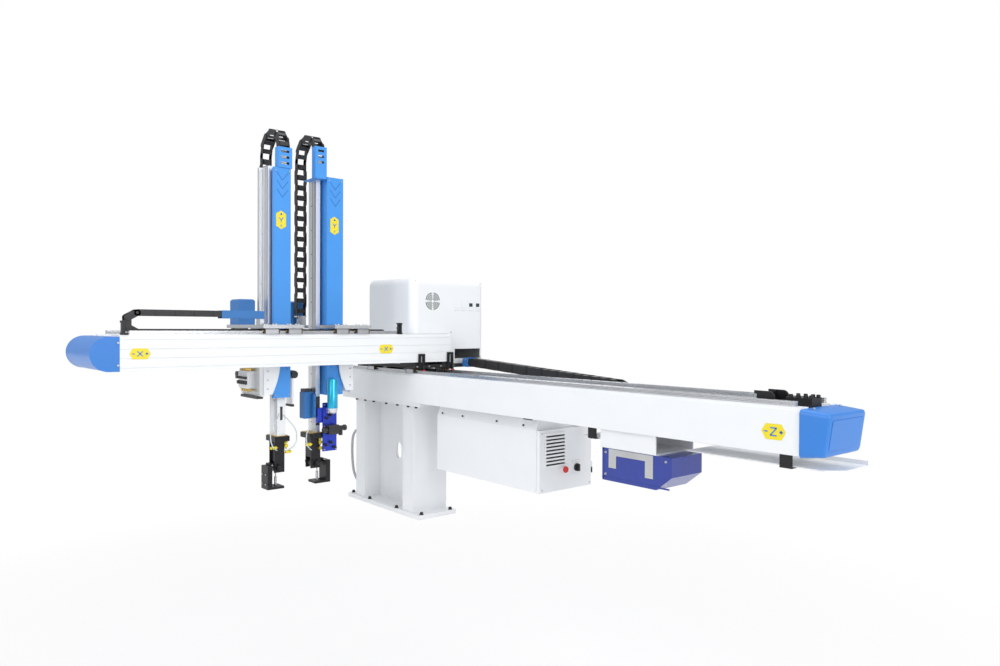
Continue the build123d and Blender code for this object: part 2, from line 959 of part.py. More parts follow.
long_chain_size = (long_chain_pitch, long_chain_width, long_chain_height)
long_chain_bend = turn_radius(long_chain_pitch, long_chain_turn_links)
long_chain_low = long_chain_floor + long_chain_height / 2 + 2.8
cross_chain_size = (cross_chain_pitch, cross_chain_width, cross_chain_height)
cross_chain_bend = turn_radius(cross_chain_pitch, cross_chain_turn_links)
cross_chain_low = cross_top + cross_chain_height / 2 + 3.5
arm_chain_size = (arm_chain_pitch, arm_chain_width, arm_chain_height)
arm_chain_bend = turn_radius(arm_chain_pitch, arm_chain_turn_links)


def traverse_chain_upper():
    """The long chain's upper row, from the deck's bracket to its loop."""
    start = (long_chain_start, long_chain_y, long_chain_top - long_chain_height / 2)
    end = (long_chain_loop_x, long_chain_y, long_chain_low + 2 * long_chain_bend)
    return slanted_run(long_chain_size, start, end, Y)


def traverse_chain_loop():
    """The long chain's loop and its lower row in the trough."""
    centre = (long_chain_loop_x, long_chain_y, long_chain_low + long_chain_bend)
    turn = chain_turn(long_chain_size, centre, Z, X, long_chain_turn_links, Y)
    count = int((long_chain_loop_x - deck_left - 240) / long_chain_pitch)
    start = Vector(long_chain_loop_x, long_chain_y, long_chain_low)
    first = chain_run(long_chain_size, start, -X, 1, Y, "inner")
    return turn + first + chain_run(long_chain_size, start - X * long_chain_pitch, -X, count, Y)


def cross_chain_upper():
    """The crosswise chain's upper row, from the first carriage to its loop."""
    top = cross_chain_low + 2 * cross_chain_bend
    start = (cross_chain_x, cross_chain_bracket, top)
    return slanted_run(cross_chain_size, start, (cross_chain_x, cross_chain_loop_y, top), X)


def cross_chain_loop():
    """The crosswise chain's loop and its lower row between the rails."""
    centre = (cross_chain_x, cross_chain_loop_y, cross_chain_low + cross_chain_bend)
    turn = chain_turn(cross_chain_size, centre, Z, -Y, cross_chain_turn_links, X)
    count = int((cross_chain_end - cross_chain_loop_y) / cross_chain_pitch)
    start = (cross_chain_x, cross_chain_loop_y, cross_chain_low)
    return turn + chain_run(cross_chain_size, start, Y, count, X)


def span(arm, x0, x1, u0, u1, z0, z1):
    """A box on an arm, whose second direction is measured from the cheek's outer face."""
    cheek_y, side = arm
    ends = sorted((cheek_y + side * u0, cheek_y + side * u1))
    return block(x0, x1, ends[0], ends[1], z0, z1)


def outward(arm):
    """The direction from a stage back towards the cheek's outer face."""
    return Y * -arm[1]


def chain_middle(arm, stage_u):
    """The Y of the arm chain's middle."""
    return arm[0] + arm[1] * stage_u


def carriage_plate(arm, near, far, rear, foot_u):
    """Carriage plate with an open slot for the arm and the foot that holds the arm chain's end."""
    plate = span(arm, plate_rear, cross_front + 5, -near, far, plate_bottom, plate_top)
    slot_start = 23.0
    plate -= span(
        arm, plate_open_rear, plate_open_front, slot_start, far + 5, plate_bottom - 1, plate_top + 1
    )
    if rear < plate_rear:
        plate += span(arm, rear, plate_rear, far - 92, far, plate_bottom, plate_top)
    low_x = arm_chain_x - 2 * arm_chain_bend
    head_z = arm_chain_foot - 0.1
    half = arm_chain_width / 2
    foot = span(arm, low_x - 15, low_x + 15, foot_u - 24, far, plate_top, head_z - 8)
    head = span(arm, low_x - 15, low_x + 15, foot_u - half, foot_u + half, head_z - 8, head_z)
    return fuse([plate, foot, head])


def cross_chain_horn():
    """The stand on the first carriage that holds the crosswise chain's moving end."""
    half = cross_chain_width / 2
    top = cross_chain_low + 2 * cross_chain_bend + cross_chain_height / 2
    count = int((cross_chain_bracket - cross_chain_loop_y) / cross_chain_pitch)
    y0 = cross_chain_loop_y + cross_chain_pitch * count + 0.1
    y1 = sub_cheek_y - sub_plate_near + 26
    post = block(cross_chain_x - half, cross_chain_x + half, y1 - 20, y1, plate_top, top)
    arm = block(cross_chain_x - half, cross_chain_x + half, y0, y1, top - cross_chain_height, top)
    return post + arm


def cheek_bracket(arm):
    """Hanging cheek with its top flange, a rear rib and the curved gusset in front."""
    cheek = span(arm, cheek_rear, 200, 0, cheek_thickness, cheek_bottom, plate_bottom)
    flange = span(arm, cheek_rear, plate_open_rear - 4, -4, 70, plate_bottom - 12, plate_bottom)
    rib = span(arm, cheek_rear, cheek_rear + 10, 0, 70, cheek_bottom + 120, plate_bottom)
    x0 = arm_face + gusset_gap
    steps = 8
    top_z = cross_bottom
    low_z = cheek_bottom + 10
    curve = []
    for i in range(steps + 1):
        t = i / steps
        reach = gusset_foot_width + (gusset_top_width - gusset_foot_width) * math.sin(t * math.pi / 2)
        curve.append((reach, low_z + (top_z - low_z) * t))
    outline = [(0, low_z)] + curve + [(gusset_top_width, plate_bottom), (0, plate_bottom)]
    placed = [(arm[0] + arm[1] * u, z) for u, z in outline]
    gusset = prism(placed, yz_plane(x0), gusset_thickness)
    return fuse([cheek, flange, rib, gusset])


def arm_blocks(arm, near, far, rail_u):
    """Guide blocks of a carriage: four on the crosswise rails and two for the first stage."""
    size = (block_length, block_width, block_body, block_gap, (rail_width, rail_height))
    ends = sorted((arm[0] - arm[1] * near, arm[0] + arm[1] * far))
    blocks = []
    for x in (cross_rail_x_front, cross_rail_x_rear):
        for y in (ends[0] + 46, ends[1] - 46):
            blocks.append(guide_block((x, y, cross_rail_base), Y, Z, *size))
    base_y = arm[0] + arm[1] * rail_u
    body = rail_u - cheek_thickness - 4.0
    for z in (cheek_bottom + 60, plate_bottom - 70):
        size = (block_length, block_width, body, 4.0, (rail_width, 16.0))
        blocks.append(guide_block((first_rail_x, base_y, z), Z, outward(arm), *size))
    return blocks


def inner_profile(arm, x0, x1, u0, u1, top, stage_u, rail_x):
    """First stage: a profile with a rail on each side of it, and the second stage's guide block."""
    wall = 5.0
    tube = span(arm, x0, x1, u0, u1, stage_bottom, top)
    tube -= span(arm, x0 + wall, x1 - wall, u0 + wall, u1 - wall, stage_bottom - 1, top + 1)
    rail_start = (first_rail_x, arm[0] + arm[1] * u0, stage_bottom)
    rail = guide_rail(rail_start, Z, outward(arm), top - stage_bottom, rail_width, 16.0)
    block_shapes = []
    for z in (stage_bottom + 60, stage_bottom + 230):
        base = (rail_x, arm[0] + arm[1] * stage_u, z)
        body = stage_u - u1 - 4.0
        size = (stage_block_length, 34.0, body, 4.0, (stage_rail_width, stage_rail_height))
        block_shapes.append(guide_block(base, Z, outward(arm), *size))
    return fuse([tube, rail] + block_shapes)


def outer_profile(arm, x0, x1, u0, u1, top, rail_x):
    """Second stage: a hollow profile with its rail towards the first stage and a slot in front."""
    wall = 4.0
    tube = span(arm, x0, x1, u0, u1, wrist_top, top)
    tube -= span(arm, x0 + wall, x1 - wall, u0 + wall, u1 - wall, wrist_top - 1, top + 1)
    rail_start = (rail_x, arm[0] + arm[1] * u0, wrist_top + 20)
    rail = guide_rail(
        rail_start, Z, outward(arm), top - wrist_top - 20, stage_rail_width, stage_rail_height
    )
    slot = span(arm, x1 - wall - 1, x1 + 1, (u0 + u1) / 2 - 7, (u0 + u1) / 2 + 7, 590, 660)
    return tube + rail - slot


def sub_cover():
    """Folded front sheet of the first arm, fixed to its second stage."""
    arm = sub_arm
    face = arm_face
    low = cover_bottom
    top = sub_tube_top - 1
    sheet = cover_sheet
    front = span(arm, face - sheet, face, 58, 150, low, top)
    right = span(arm, 150, face, 150 - sheet, 150, low, top)
    flange = span(arm, 150, 150 + sheet, 99, 150, low, top)
    left = span(arm, face - 20, face, 58, 58 + sheet, low, top)
    return fuse([front, right, flange, left])


def main_cover():
    """Folded front sheet of the second arm, fixed to its first stage."""
    arm = main_arm
    face = arm_face
    low = cover_bottom
    top = main_tube_top + 14
    sheet = cover_sheet
    front = span(arm, face - sheet, face, 56, 152, low, top)
    right = span(arm, 105, face, 56, 56 + sheet, low, top)
    left = span(arm, 105, face, 152 - sheet, 152, low, top)
    back = span(arm, 105, 105 + sheet, 56, 152, low, top)
    return fuse([front, right, left, back])


def chain_head(arm, x0, u0, u1, low, high):
    """Open slotted bracket on the second stage that takes the arm chain's moving end."""
    sheet = 3.0
    x1 = arm_face + 3
    floor = span(arm, x0, x1, u0, u1, low, low + 4)
    front = span(arm, x1 - sheet, x1, u0, u1, low, high)
    near = span(arm, 152, x1, u0, u0 + sheet, low, high)
    far = span(arm, 152, x1, u1 - sheet, u1, low, high)
    shell = fuse([floor, front, near, far])
    for i in range(3):
        z = high - 22 - i * 30
        shell -= span(arm, x1 - sheet - 1, x1 + 1, u0 + 16, u1 - 16, z - 6, z + 6)
    return shell


def fixed_leg(arm, chain_u):
    """The arm chain's standing leg on the carriage."""
    x = arm_chain_x - 2 * arm_chain_bend
    start = (x, chain_middle(arm, chain_u), arm_chain_foot)
    count = int((arm_chain_top - arm_chain_foot) / arm_chain_pitch)
    return chain_run(arm_chain_size, start, Z, count, Y)


def arm_loop(arm, chain_u):
    """The arm chain's loop and the first link of its moving leg."""
    y = chain_middle(arm, chain_u)
    centre = (arm_chain_x - arm_chain_bend, y, arm_chain_top)
    turn = chain_turn(arm_chain_size, centre, X, Z, arm_chain_turn_links, Y, ("outer", "inner"))
    stub = chain_run(arm_chain_size, (arm_chain_x, y, arm_chain_top), -Z, 1, Y, "inner")
    return turn + stub


def wrist(arm, wrist_u):
    """Flip wrist: flange, rotary drive, fork and pin, with the outer fork ear's bearing boss."""
    half = 22.5
    low = wrist_top - wrist_flange
    flange = span(arm, 45, 160, wrist_u - 40, wrist_u + 40, low, wrist_top)
    body = span(arm, 78, 128, wrist_u - half, wrist_u + half, flip_z + 34, low)
    left = span(arm, 70, 78, wrist_u - half - 10, wrist_u + half, flip_z - 25, low)
    right = span(arm, 128, 136, wrist_u - half - 10, wrist_u + half, flip_z - 25, low)
    y = arm[0] + arm[1] * (wrist_u - flip_offset)
    pin = rod((66, y, flip_z), X, flip_pin_radius, 76)
    boss = rod((136, y, flip_z), X, 16, 12)
    drive = rod((40, y, flip_z), X, 20, 30)
    return fuse([flange, body, left, right, pin, boss, drive])


def gripper_bracket(arm, wrist_u):
    """Flip hub with its web, the hanging plate and the foot with the tool's holes."""
    u = wrist_u - flip_offset
    y = arm[0] + arm[1] * u
    hub = rod((flip_hub_left, y, flip_z), X, flip_hub_radius, flip_hub_right - flip_hub_left)
    web = span(arm, flip_hub_left + 1, flip_hub_right - 1, u - 46, u, flip_z + 5, flip_z + 24)
    plate = span(arm, 80, 160, u - 70, u - 45, tool_foot_z, flip_z + 15)
    foot = span(arm, 80, 160, u - 70, u - 70 + tool_foot_reach, tool_foot_z, tool_foot_z + 12)
    shape = fuse([hub, web, plate, foot])
    reach = flip_hub_right - flip_hub_left + 2
    shape -= rod((flip_hub_left - 1, y, flip_z), X, flip_pin_radius + shaft_clearance, reach)
    middle = arm[0] + arm[1] * (u - 4)
    for x in (120 - tool_hole_spacing / 2, 120 + tool_hole_spacing / 2):
        shape -= rod((x, middle, tool_foot_z - 1), Z, tool_hole_radius, 14)
    return shape


def motor_cover(x0, x1, y0, y1):
    """Tall cover over an arm's drive motor, with a chamfered top."""
    shape = block(x0, x1, y0, y1, plate_top, plate_top + 132)
    return chamfer(shape.faces().sort_by(Axis.Z)[-1].edges(), 8)


def vacuum_unit():
    """Valve plate, bracket, filter bowl and its head on the main arm."""
    arm = main_arm
    plate = block(vacuum_x, vacuum_x + 8, -600, -518, 405, 667)
    bracket = block(140, vacuum_x, -628, -590, 560, 640)
    head = block(vacuum_x + 8, filter_x + 20, -600, -570, 590, 640)
    bowl = rod((filter_x, -585, 640), Z, filter_radius, 150)
    bowl = fillet(bowl.edges().filter_by(GeomType.CIRCLE).sort_by(Axis.Z)[-1], 10)
    dome = Pos(filter_x, -585, 596) * Sphere(24)
    valves = block(vacuum_x + 8, vacuum_x + 40, -592, -540, 440, 560)
    return fuse([plate, bracket, head, bowl, dome, valves])


def conduit_points():
    """The corner points of the hose on the pedestal's left side."""
    x = -pedestal_length / 2
    return [
        (x - 24, conduit_y, 430),
        (x - 132, conduit_y - 4, 424),
        (x - 160, conduit_y, 255),
        (x - 128, conduit_y + 4, 90),
        (x - 24, conduit_y, 78),
    ]


def corner_radii(points):
    """Radius of each corner, from the shorter run beside it and its turn."""
    radii = []
    for a, b, c in zip(points, points[1:], points[2:]):
        first = Vector(*b) - Vector(*a)
        second = Vector(*c) - Vector(*b)
        half_turn = math.radians(first.get_angle(second)) / 2
        radii.append(0.45 * min(first.length, second.length) / math.tan(half_turn))
    return radii


def pedestal_conduit():
    """The hose itself, a tube along its rounded path."""
    points = conduit_points()
    path = FilletPolyline(*points, radius=corner_radii(points))
    ring = Plane(origin=points[0], z_dir=path % 0) * Circle(conduit_radius)
    return sweep(ring, path=path)


def conduit_glands():
    """Two hexagon glands on the pedestal where the hose enters."""
    points = conduit_points()
    glands = []
    for point in (points[0], points[-1]):
        y, z = point[1], point[2]
        nut = extrude(yz_plane(-pedestal_length / 2 - 12) * Pos(y, z) * RegularPolygon(15, 6), 12)
        sleeve = rod((-pedestal_length / 2 - 22.5, y, z), X, 11, 12)
        glands.append(nut + sleeve)
    return glands


os.makedirs("parts", exist_ok=True)

nodes = {
    "pedestal": pedestal(),
    "traverse_beam": traverse_beam(),
    "traverse_rails": traverse_rails(),
    "traverse_belt": traverse_belt(),
    "belt_clamps": belt_clamps(),
    "traverse_end_stops": traverse_end_stops(),
    "beam_end_cover": beam_end_cover(),
    "chain_trough": chain_trough(),
    "control_cabinet": control_cabinet(),
    "door_hinges": door_hinges(),
    "cabinet_door": cabinet_door(),
    "stop_button": stop_button(),
    "switch_knob": switch_knob(),
    "instrument_hanger": instrument_hanger(),
    "generator_clamp": generator_clamp(),
    "static_generator": static_generator(),
    "cable_tray": cable_tray(),
    "tray_brackets": tray_brackets(),
    "pedestal_conduit": pedestal_conduit(),
    "conduit_glands": conduit_glands(),
    "traverse_carriage_plate": traverse_carriage_plate(),
    "traverse_guide_blocks": traverse_guide_blocks(),
    "traverse_motor": traverse_motor(),
    "cross_beam": cross_beam(),
    "cross_rails": cross_rails(),
    "cross_end_stops": cross_end_stops(),
    "cross_end_cover": cross_end_cover(),
    "electrical_box": electrical_box(),
    "box_gauges": box_gauges(),
    "chain_bracket": chain_bracket(),
    "rail_scrapers": rail_scrapers(),
    "traverse_chain_upper": traverse_chain_upper(),
    "traverse_chain_loop": traverse_chain_loop(),
    "cross_chain_loop": cross_chain_loop(),
    "cross_chain_upper": cross_chain_upper(),
    "sub_carriage_plate": carriage_plate(
        sub_arm, sub_plate_near, sub_plate_far, plate_rear, sub_chain_u
    ) + cross_chain_horn(),
    "sub_cheek_bracket": cheek_bracket(sub_arm),
    "sub_guide_blocks": arm_blocks(sub_arm, sub_plate_near, sub_plate_far, 45.0),
    "sub_motor_cover": motor_cover(-60, 60, -1017, -932),
    "sub_chain_fixed_leg": fixed_leg(sub_arm, sub_chain_u),
    "sub_inner_profile": inner_profile(sub_arm, 52, 150, 45, 73, 1903, 97, second_rail_x),
    "sub_chain_loop": arm_loop(sub_arm, sub_chain_u),
    "sub_outer_tube": outer_profile(sub_arm, 55, 150, 97, 141, sub_tube_top, second_rail_x),
    "sub_cover": sub_cover(),
    "sub_chain_bracket": chain_head(sub_arm, 60, 80, 156, sub_tube_top, 2001),
    "sub_wrist": wrist(sub_arm, sub_wrist_u),
    "sub_gripper_bracket": gripper_bracket(sub_arm, sub_wrist_u),
    "main_carriage_plate": carriage_plate(
        main_arm, main_plate_near, main_plate_far, -190.0, main_chain_u
    ),
    "main_cheek_bracket": cheek_bracket(main_arm),
    "main_guide_blocks": arm_blocks(main_arm, main_plate_near, main_plate_far, 45.0),
    "main_motor_cover": motor_cover(-190, -86, -665, -575),
    "main_chain_fixed_leg": fixed_leg(main_arm, main_chain_u),
    "main_inner_profile": inner_profile(
        main_arm, 50, 105, 45, 143, main_tube_top, 167, main_second_rail_x
    ),
    "main_cover": main_cover(),
    "main_chain_loop": arm_loop(main_arm, main_chain_u),
    "main_outer_profile": outer_profile(
        main_arm, 54, 140, 167, 191, main_tube_top, main_second_rail_x
    ),
    "main_chain_bracket": chain_head(main_arm, 54, 156, 222, main_tube_top, 2035),
    "main_wrist": wrist(main_arm, main_wrist_u),
    "main_vacuum_unit": vacuum_unit(),
    "main_gripper_bracket": gripper_bracket(main_arm, main_wrist_u),
}
for name, shape in nodes.items():
    save(name, shape)
print("hose radius", conduit_radius, "corner radii", [round(r, 2) for r in corner_radii(conduit_points())])
print(len(nodes), "nodes")
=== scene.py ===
"""Looks of an in-mold labeling robot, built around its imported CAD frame."""

import json
import logging
import math
from dataclasses import dataclass, field
from enum import Enum

import bmesh
import bpy
from mathutils import Matrix, Vector

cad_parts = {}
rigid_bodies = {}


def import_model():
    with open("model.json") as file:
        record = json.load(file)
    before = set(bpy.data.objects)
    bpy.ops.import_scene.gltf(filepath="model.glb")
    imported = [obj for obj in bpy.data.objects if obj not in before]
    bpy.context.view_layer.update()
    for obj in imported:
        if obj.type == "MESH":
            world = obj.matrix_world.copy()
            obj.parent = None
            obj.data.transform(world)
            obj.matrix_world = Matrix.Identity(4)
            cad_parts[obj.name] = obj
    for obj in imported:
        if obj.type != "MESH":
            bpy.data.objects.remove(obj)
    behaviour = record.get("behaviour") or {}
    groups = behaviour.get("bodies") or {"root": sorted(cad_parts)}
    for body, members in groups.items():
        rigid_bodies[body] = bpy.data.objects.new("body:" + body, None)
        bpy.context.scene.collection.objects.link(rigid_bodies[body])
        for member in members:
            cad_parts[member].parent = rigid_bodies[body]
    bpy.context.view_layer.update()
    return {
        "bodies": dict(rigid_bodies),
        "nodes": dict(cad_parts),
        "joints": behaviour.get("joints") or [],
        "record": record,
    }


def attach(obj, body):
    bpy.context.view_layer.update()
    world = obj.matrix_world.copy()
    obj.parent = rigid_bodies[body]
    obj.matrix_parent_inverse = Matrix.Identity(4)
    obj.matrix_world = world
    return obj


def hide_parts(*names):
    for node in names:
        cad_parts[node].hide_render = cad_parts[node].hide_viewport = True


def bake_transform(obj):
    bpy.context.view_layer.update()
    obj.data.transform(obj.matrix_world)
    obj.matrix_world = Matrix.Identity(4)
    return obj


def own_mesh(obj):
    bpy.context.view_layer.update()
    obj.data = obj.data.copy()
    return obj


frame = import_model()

LOG = logging.getLogger("robot")
MM = 0.001
PHOTO_WIDTH = 1000
X = Vector((1, 0, 0))
Y = Vector((0, 1, 0))
Z = Vector((0, 0, 1))


class Grain(Enum):
    """How a finish's fine surface looks."""

    POWDER = "powder coat"
    HAMMER = "fine hammered paint"
    BRUSHED = "brushed or drawn metal"
    BLASTED = "blasted or plated metal"
    MOULDED = "moulded plastic"


class Kind(Enum):
    """Which way a chain link is offset from its neighbours."""

    INNER = 0
    OUTER = 1


@dataclass(frozen=True)
class Finish:
    """One surface finish, built as a node material.

    Attributes:
        name: Material name.
        color: Base colour, linear RGB.
        roughness: Middle roughness.
        metallic: 0 for paint and plastic, 1 for bare metal.
        grain: Fine surface of the finish.
        grain_size: Scale of the grain in noise cells per metre.
        bump: Height of the grain in millimetres.
        spread: How much the colour varies over the surface.
        along: Direction in which a brushed grain runs.
        coat: Clear coat weight.
        soft_edge: Radius of the shaded edge rounding in millimetres.
    """

    name: str
    color: tuple[float, float, float]
    roughness: float = 0.4
    metallic: float = 0.0
    grain: Grain = Grain.POWDER
    grain_size: float = 900.0
    bump: float = 0.05
    spread: float = 0.05
    along: tuple[float, float, float] = (1.0, 0.0, 0.0)
    coat: float = 0.0
    soft_edge: float = 1.2

    def build(self) -> bpy.types.Material:
        """Makes the material once and returns it.

        Returns:
            The node material of this finish.
        """
        made = bpy.data.materials.get(self.name)
        if made:
            return made
        made = bpy.data.materials.new(self.name)
        made.use_nodes = True
        tree = made.node_tree
        shader = tree.nodes["Principled BSDF"]
        shader.inputs["Metallic"].default_value = self.metallic
        shader.inputs["Coat Weight"].default_value = self.coat
        shader.inputs["Coat Roughness"].default_value = 0.12
        place = tree.nodes.new("ShaderNodeTexCoord")
        mapping = tree.nodes.new("ShaderNodeMapping")
        tree.links.new(place.outputs["Object"], mapping.inputs["Vector"])
        mapping.inputs["Scale"].default_value = self._stretch()
        fine = tree.nodes.new("ShaderNodeTexNoise")
        fine.inputs["Scale"].default_value = self.grain_size
        fine.inputs["Detail"].default_value = 3.0
        tree.links.new(mapping.outputs["Vector"], fine.inputs["Vector"])
        broad = tree.nodes.new("ShaderNodeTexNoise")
        broad.inputs["Scale"].default_value = 7.0
        broad.inputs["Detail"].default_value = 5.0
        tree.links.new(place.outputs["Object"], broad.inputs["Vector"])
        self._paint(tree, shader, fine, broad)
        self._relief(tree, shader, fine, mapping)
        return made

    def _stretch(self) -> tuple[float, float, float]:
        """Scale of the grain's coordinates, long along a brushed direction."""
        if self.grain is not Grain.BRUSHED:
            return (1.0, 1.0, 1.0)
        return tuple(0.02 if abs(a) > 0.5 else 1.0 for a in self.along)

    def _paint(
        self,
        tree: bpy.types.NodeTree,
        shader: bpy.types.Node,
        fine: bpy.types.Node,
        broad: bpy.types.Node,
    ) -> None:
        """Links the colour and the roughness, both varied by the mixed noise.

        Args:
            tree: Node tree of the material.
            shader: Its principled shader.
            fine: Noise of the grain.
            broad: Noise of slow changes.
        """
        ramp = tree.nodes.new("ShaderNodeValToRGB")
        low = [c * (1 - self.spread) for c in self.color]
        high = [min(1.0, c * (1 + self.spread * 0.6)) for c in self.color]
        ramp.color_ramp.elements[0].color = (*low, 1)
        ramp.color_ramp.elements[0].position = 0.3
        ramp.color_ramp.elements[1].color = (*high, 1)
        ramp.color_ramp.elements[1].position = 0.7
        both = tree.nodes.new("ShaderNodeMix")
        both.inputs["Factor"].default_value = 0.35
        tree.links.new(broad.outputs["Fac"], both.inputs["A"])
        tree.links.new(fine.outputs["Fac"], both.inputs["B"])
        tree.links.new(both.outputs["Result"], ramp.inputs["Fac"])
        tree.links.new(ramp.outputs["Color"], shader.inputs["Base Color"])
        reach = tree.nodes.new("ShaderNodeMapRange")
        reach.inputs["To Min"].default_value = max(0.03, self.roughness * 0.82)
        reach.inputs["To Max"].default_value = min(1.0, self.roughness * 1.2)
        tree.links.new(both.outputs["Result"], reach.inputs["Value"])
        tree.links.new(reach.outputs["Result"], shader.inputs["Roughness"])

    def _relief(
        self,
        tree: bpy.types.NodeTree,
        shader: bpy.types.Node,
        fine: bpy.types.Node,
        mapping: bpy.types.Node,
    ) -> None:
        """Links the bump of the grain over softly rounded edges.

        Args:
            tree: Node tree of the material.
            shader: Its principled shader.
            fine: Noise of the grain.
            mapping: Coordinates of the grain.
        """
        source = fine.outputs["Fac"]
        if self.grain in (Grain.HAMMER, Grain.MOULDED):
            cells = tree.nodes.new("ShaderNodeTexVoronoi")
            cells.feature = "SMOOTH_F1"
            cells.inputs["Scale"].default_value = self.grain_size * 0.6
            tree.links.new(mapping.outputs["Vector"], cells.inputs["Vector"])
            source = cells.outputs["Distance"]
        bump = tree.nodes.new("ShaderNodeBump")
        bump.inputs["Strength"].default_value = 0.35
        bump.inputs["Distance"].default_value = self.bump * MM
        tree.links.new(source, bump.inputs["Height"])
        edge = tree.nodes.new("ShaderNodeBevel")
        edge.samples = 3
        edge.inputs["Radius"].default_value = self.soft_edge * MM
        tree.links.new(edge.outputs["Normal"], bump.inputs["Normal"])
        tree.links.new(bump.outputs["Normal"], shader.inputs["Normal"])


WHITE = Finish("white_powder_coat", (0.85, 0.86, 0.87), 0.38, bump=0.03, spread=0.02)
BOX_WHITE = Finish("white_box_enamel", (0.86, 0.87, 0.88), 0.3, bump=0.02, spread=0.015, coat=0.2)
BLUE = Finish(
    "light_blue_texture_coat",
    (0.055, 0.30, 0.78),
    0.42,
    grain=Grain.HAMMER,
    grain_size=700,
    bump=0.06,
)
DEEP_BLUE = Finish(
    "deep_blue_texture_coat",
    (0.03, 0.17, 0.46),
    0.45,
    grain=Grain.HAMMER,
    grain_size=700,
    bump=0.06,
)
COVER_BLUE = Finish("moulded_blue", (0.03, 0.20, 0.62), 0.34, grain=Grain.MOULDED, grain_size=1200, bump=0.05)
INDIGO = Finish("indigo_enamel", (0.012, 0.035, 0.30), 0.26, coat=0.4, bump=0.02, spread=0.08)
BLACK = Finish("black_oxide", (0.022, 0.022, 0.024), 0.42, metallic=0.4, bump=0.02, spread=0.25)
ANODISED_BLACK = Finish(
    "black_anodised",
    (0.028, 0.028, 0.03),
    0.36,
    metallic=0.7,
    grain=Grain.BLASTED,
    spread=0.2,
)
CHAIN = Finish(
    "chain_polyamide",
    (0.018, 0.018, 0.02),
    0.44,
    grain=Grain.MOULDED,
    grain_size=1500,
    bump=0.04,
    spread=0.2,
)
RUBBER = Finish(
    "belt_rubber",
    (0.03, 0.03, 0.032),
    0.62,
    grain=Grain.MOULDED,
    grain_size=1800,
    bump=0.05,
    spread=0.2,
)
BLACK_PLASTIC = Finish(
    "black_moulded",
    (0.025, 0.025, 0.028),
    0.4,
    grain=Grain.MOULDED,
    bump=0.03,
    spread=0.15,
)
RAIL = Finish("ground_rail_steel", (0.62, 0.63, 0.65), 0.22, 1.0, Grain.BRUSHED, 2600, 0.012, 0.08)
CROSS_RAIL = Finish(
    "cross_rail_steel",
    (0.62, 0.63, 0.65),
    0.22,
    1.0,
    Grain.BRUSHED,
    2600,
    0.012,
    0.08,
    (0, 1, 0),
)
BLOCK_STEEL = Finish("block_steel", (0.55, 0.56, 0.58), 0.3, 1.0, Grain.BRUSHED, 2200, 0.015, 0.1)
ZINC = Finish("zinc_plate", (0.60, 0.61, 0.62), 0.36, 1.0, Grain.BLASTED, 500, 0.03, 0.16)
SILVER = Finish("clear_anodised", (0.74, 0.75, 0.77), 0.3, 1.0, Grain.BRUSHED, 2400, 0.012, 0.06, (0, 0, 1))
MILLED = Finish(
    "milled_aluminium",
    (0.70, 0.71, 0.73),
    0.26,
    1.0,
    Grain.BRUSHED,
    1600,
    0.012,
    0.08,
    (0, 1, 0),
)
BRASS = Finish("brass_fitting", (0.72, 0.50, 0.16), 0.26, 1.0, Grain.BLASTED, 1500, 0.01, 0.1)
RED = Finish("red_seal", (0.62, 0.02, 0.02), 0.34, grain=Grain.MOULDED, bump=0.02)
YELLOW = Finish("yellow_plate", (0.86, 0.70, 0.02), 0.4, grain=Grain.MOULDED, bump=0.01, spread=0.04)
CYAN = Finish("cyan_bowl", (0.01, 0.46, 0.72), 0.2, 0.55, Grain.BRUSHED, 1400, 0.01, 0.06, (0, 0, 1), 0.6)
VIOLET = Finish("blue_anodised_plate", (0.04, 0.07, 0.52), 0.3, 0.8, Grain.BLASTED, 1400, 0.02, 0.12)
HOSE = Finish(
    "grey_hose",
    (0.36, 0.37, 0.39),
    0.5,
    grain=Grain.MOULDED,
    grain_size=900,
    bump=0.05,
    spread=0.08,
)
SCREEN = Finish(
    "meter_window",
    (0.03, 0.05, 0.05),
    0.12,
    grain=Grain.MOULDED,
    bump=0.005,
    spread=0.1,
    coat=0.5,
)
PIN_GREY = Finish("plate_marks", (0.05, 0.22, 0.60), 0.4, grain=Grain.MOULDED, bump=0.01, spread=0.05)
AIR_TUBE = Finish(
    "clear_air_tube",
    (0.62, 0.68, 0.70),
    0.2,
    grain=Grain.MOULDED,
    bump=0.01,
    spread=0.05,
    coat=0.5,
)
FIBRE = Finish(
    "wiper_felt",
    (0.36, 0.19, 0.09),
    0.7,
    grain=Grain.MOULDED,
    grain_size=1200,
    bump=0.05,
    spread=0.2,
)

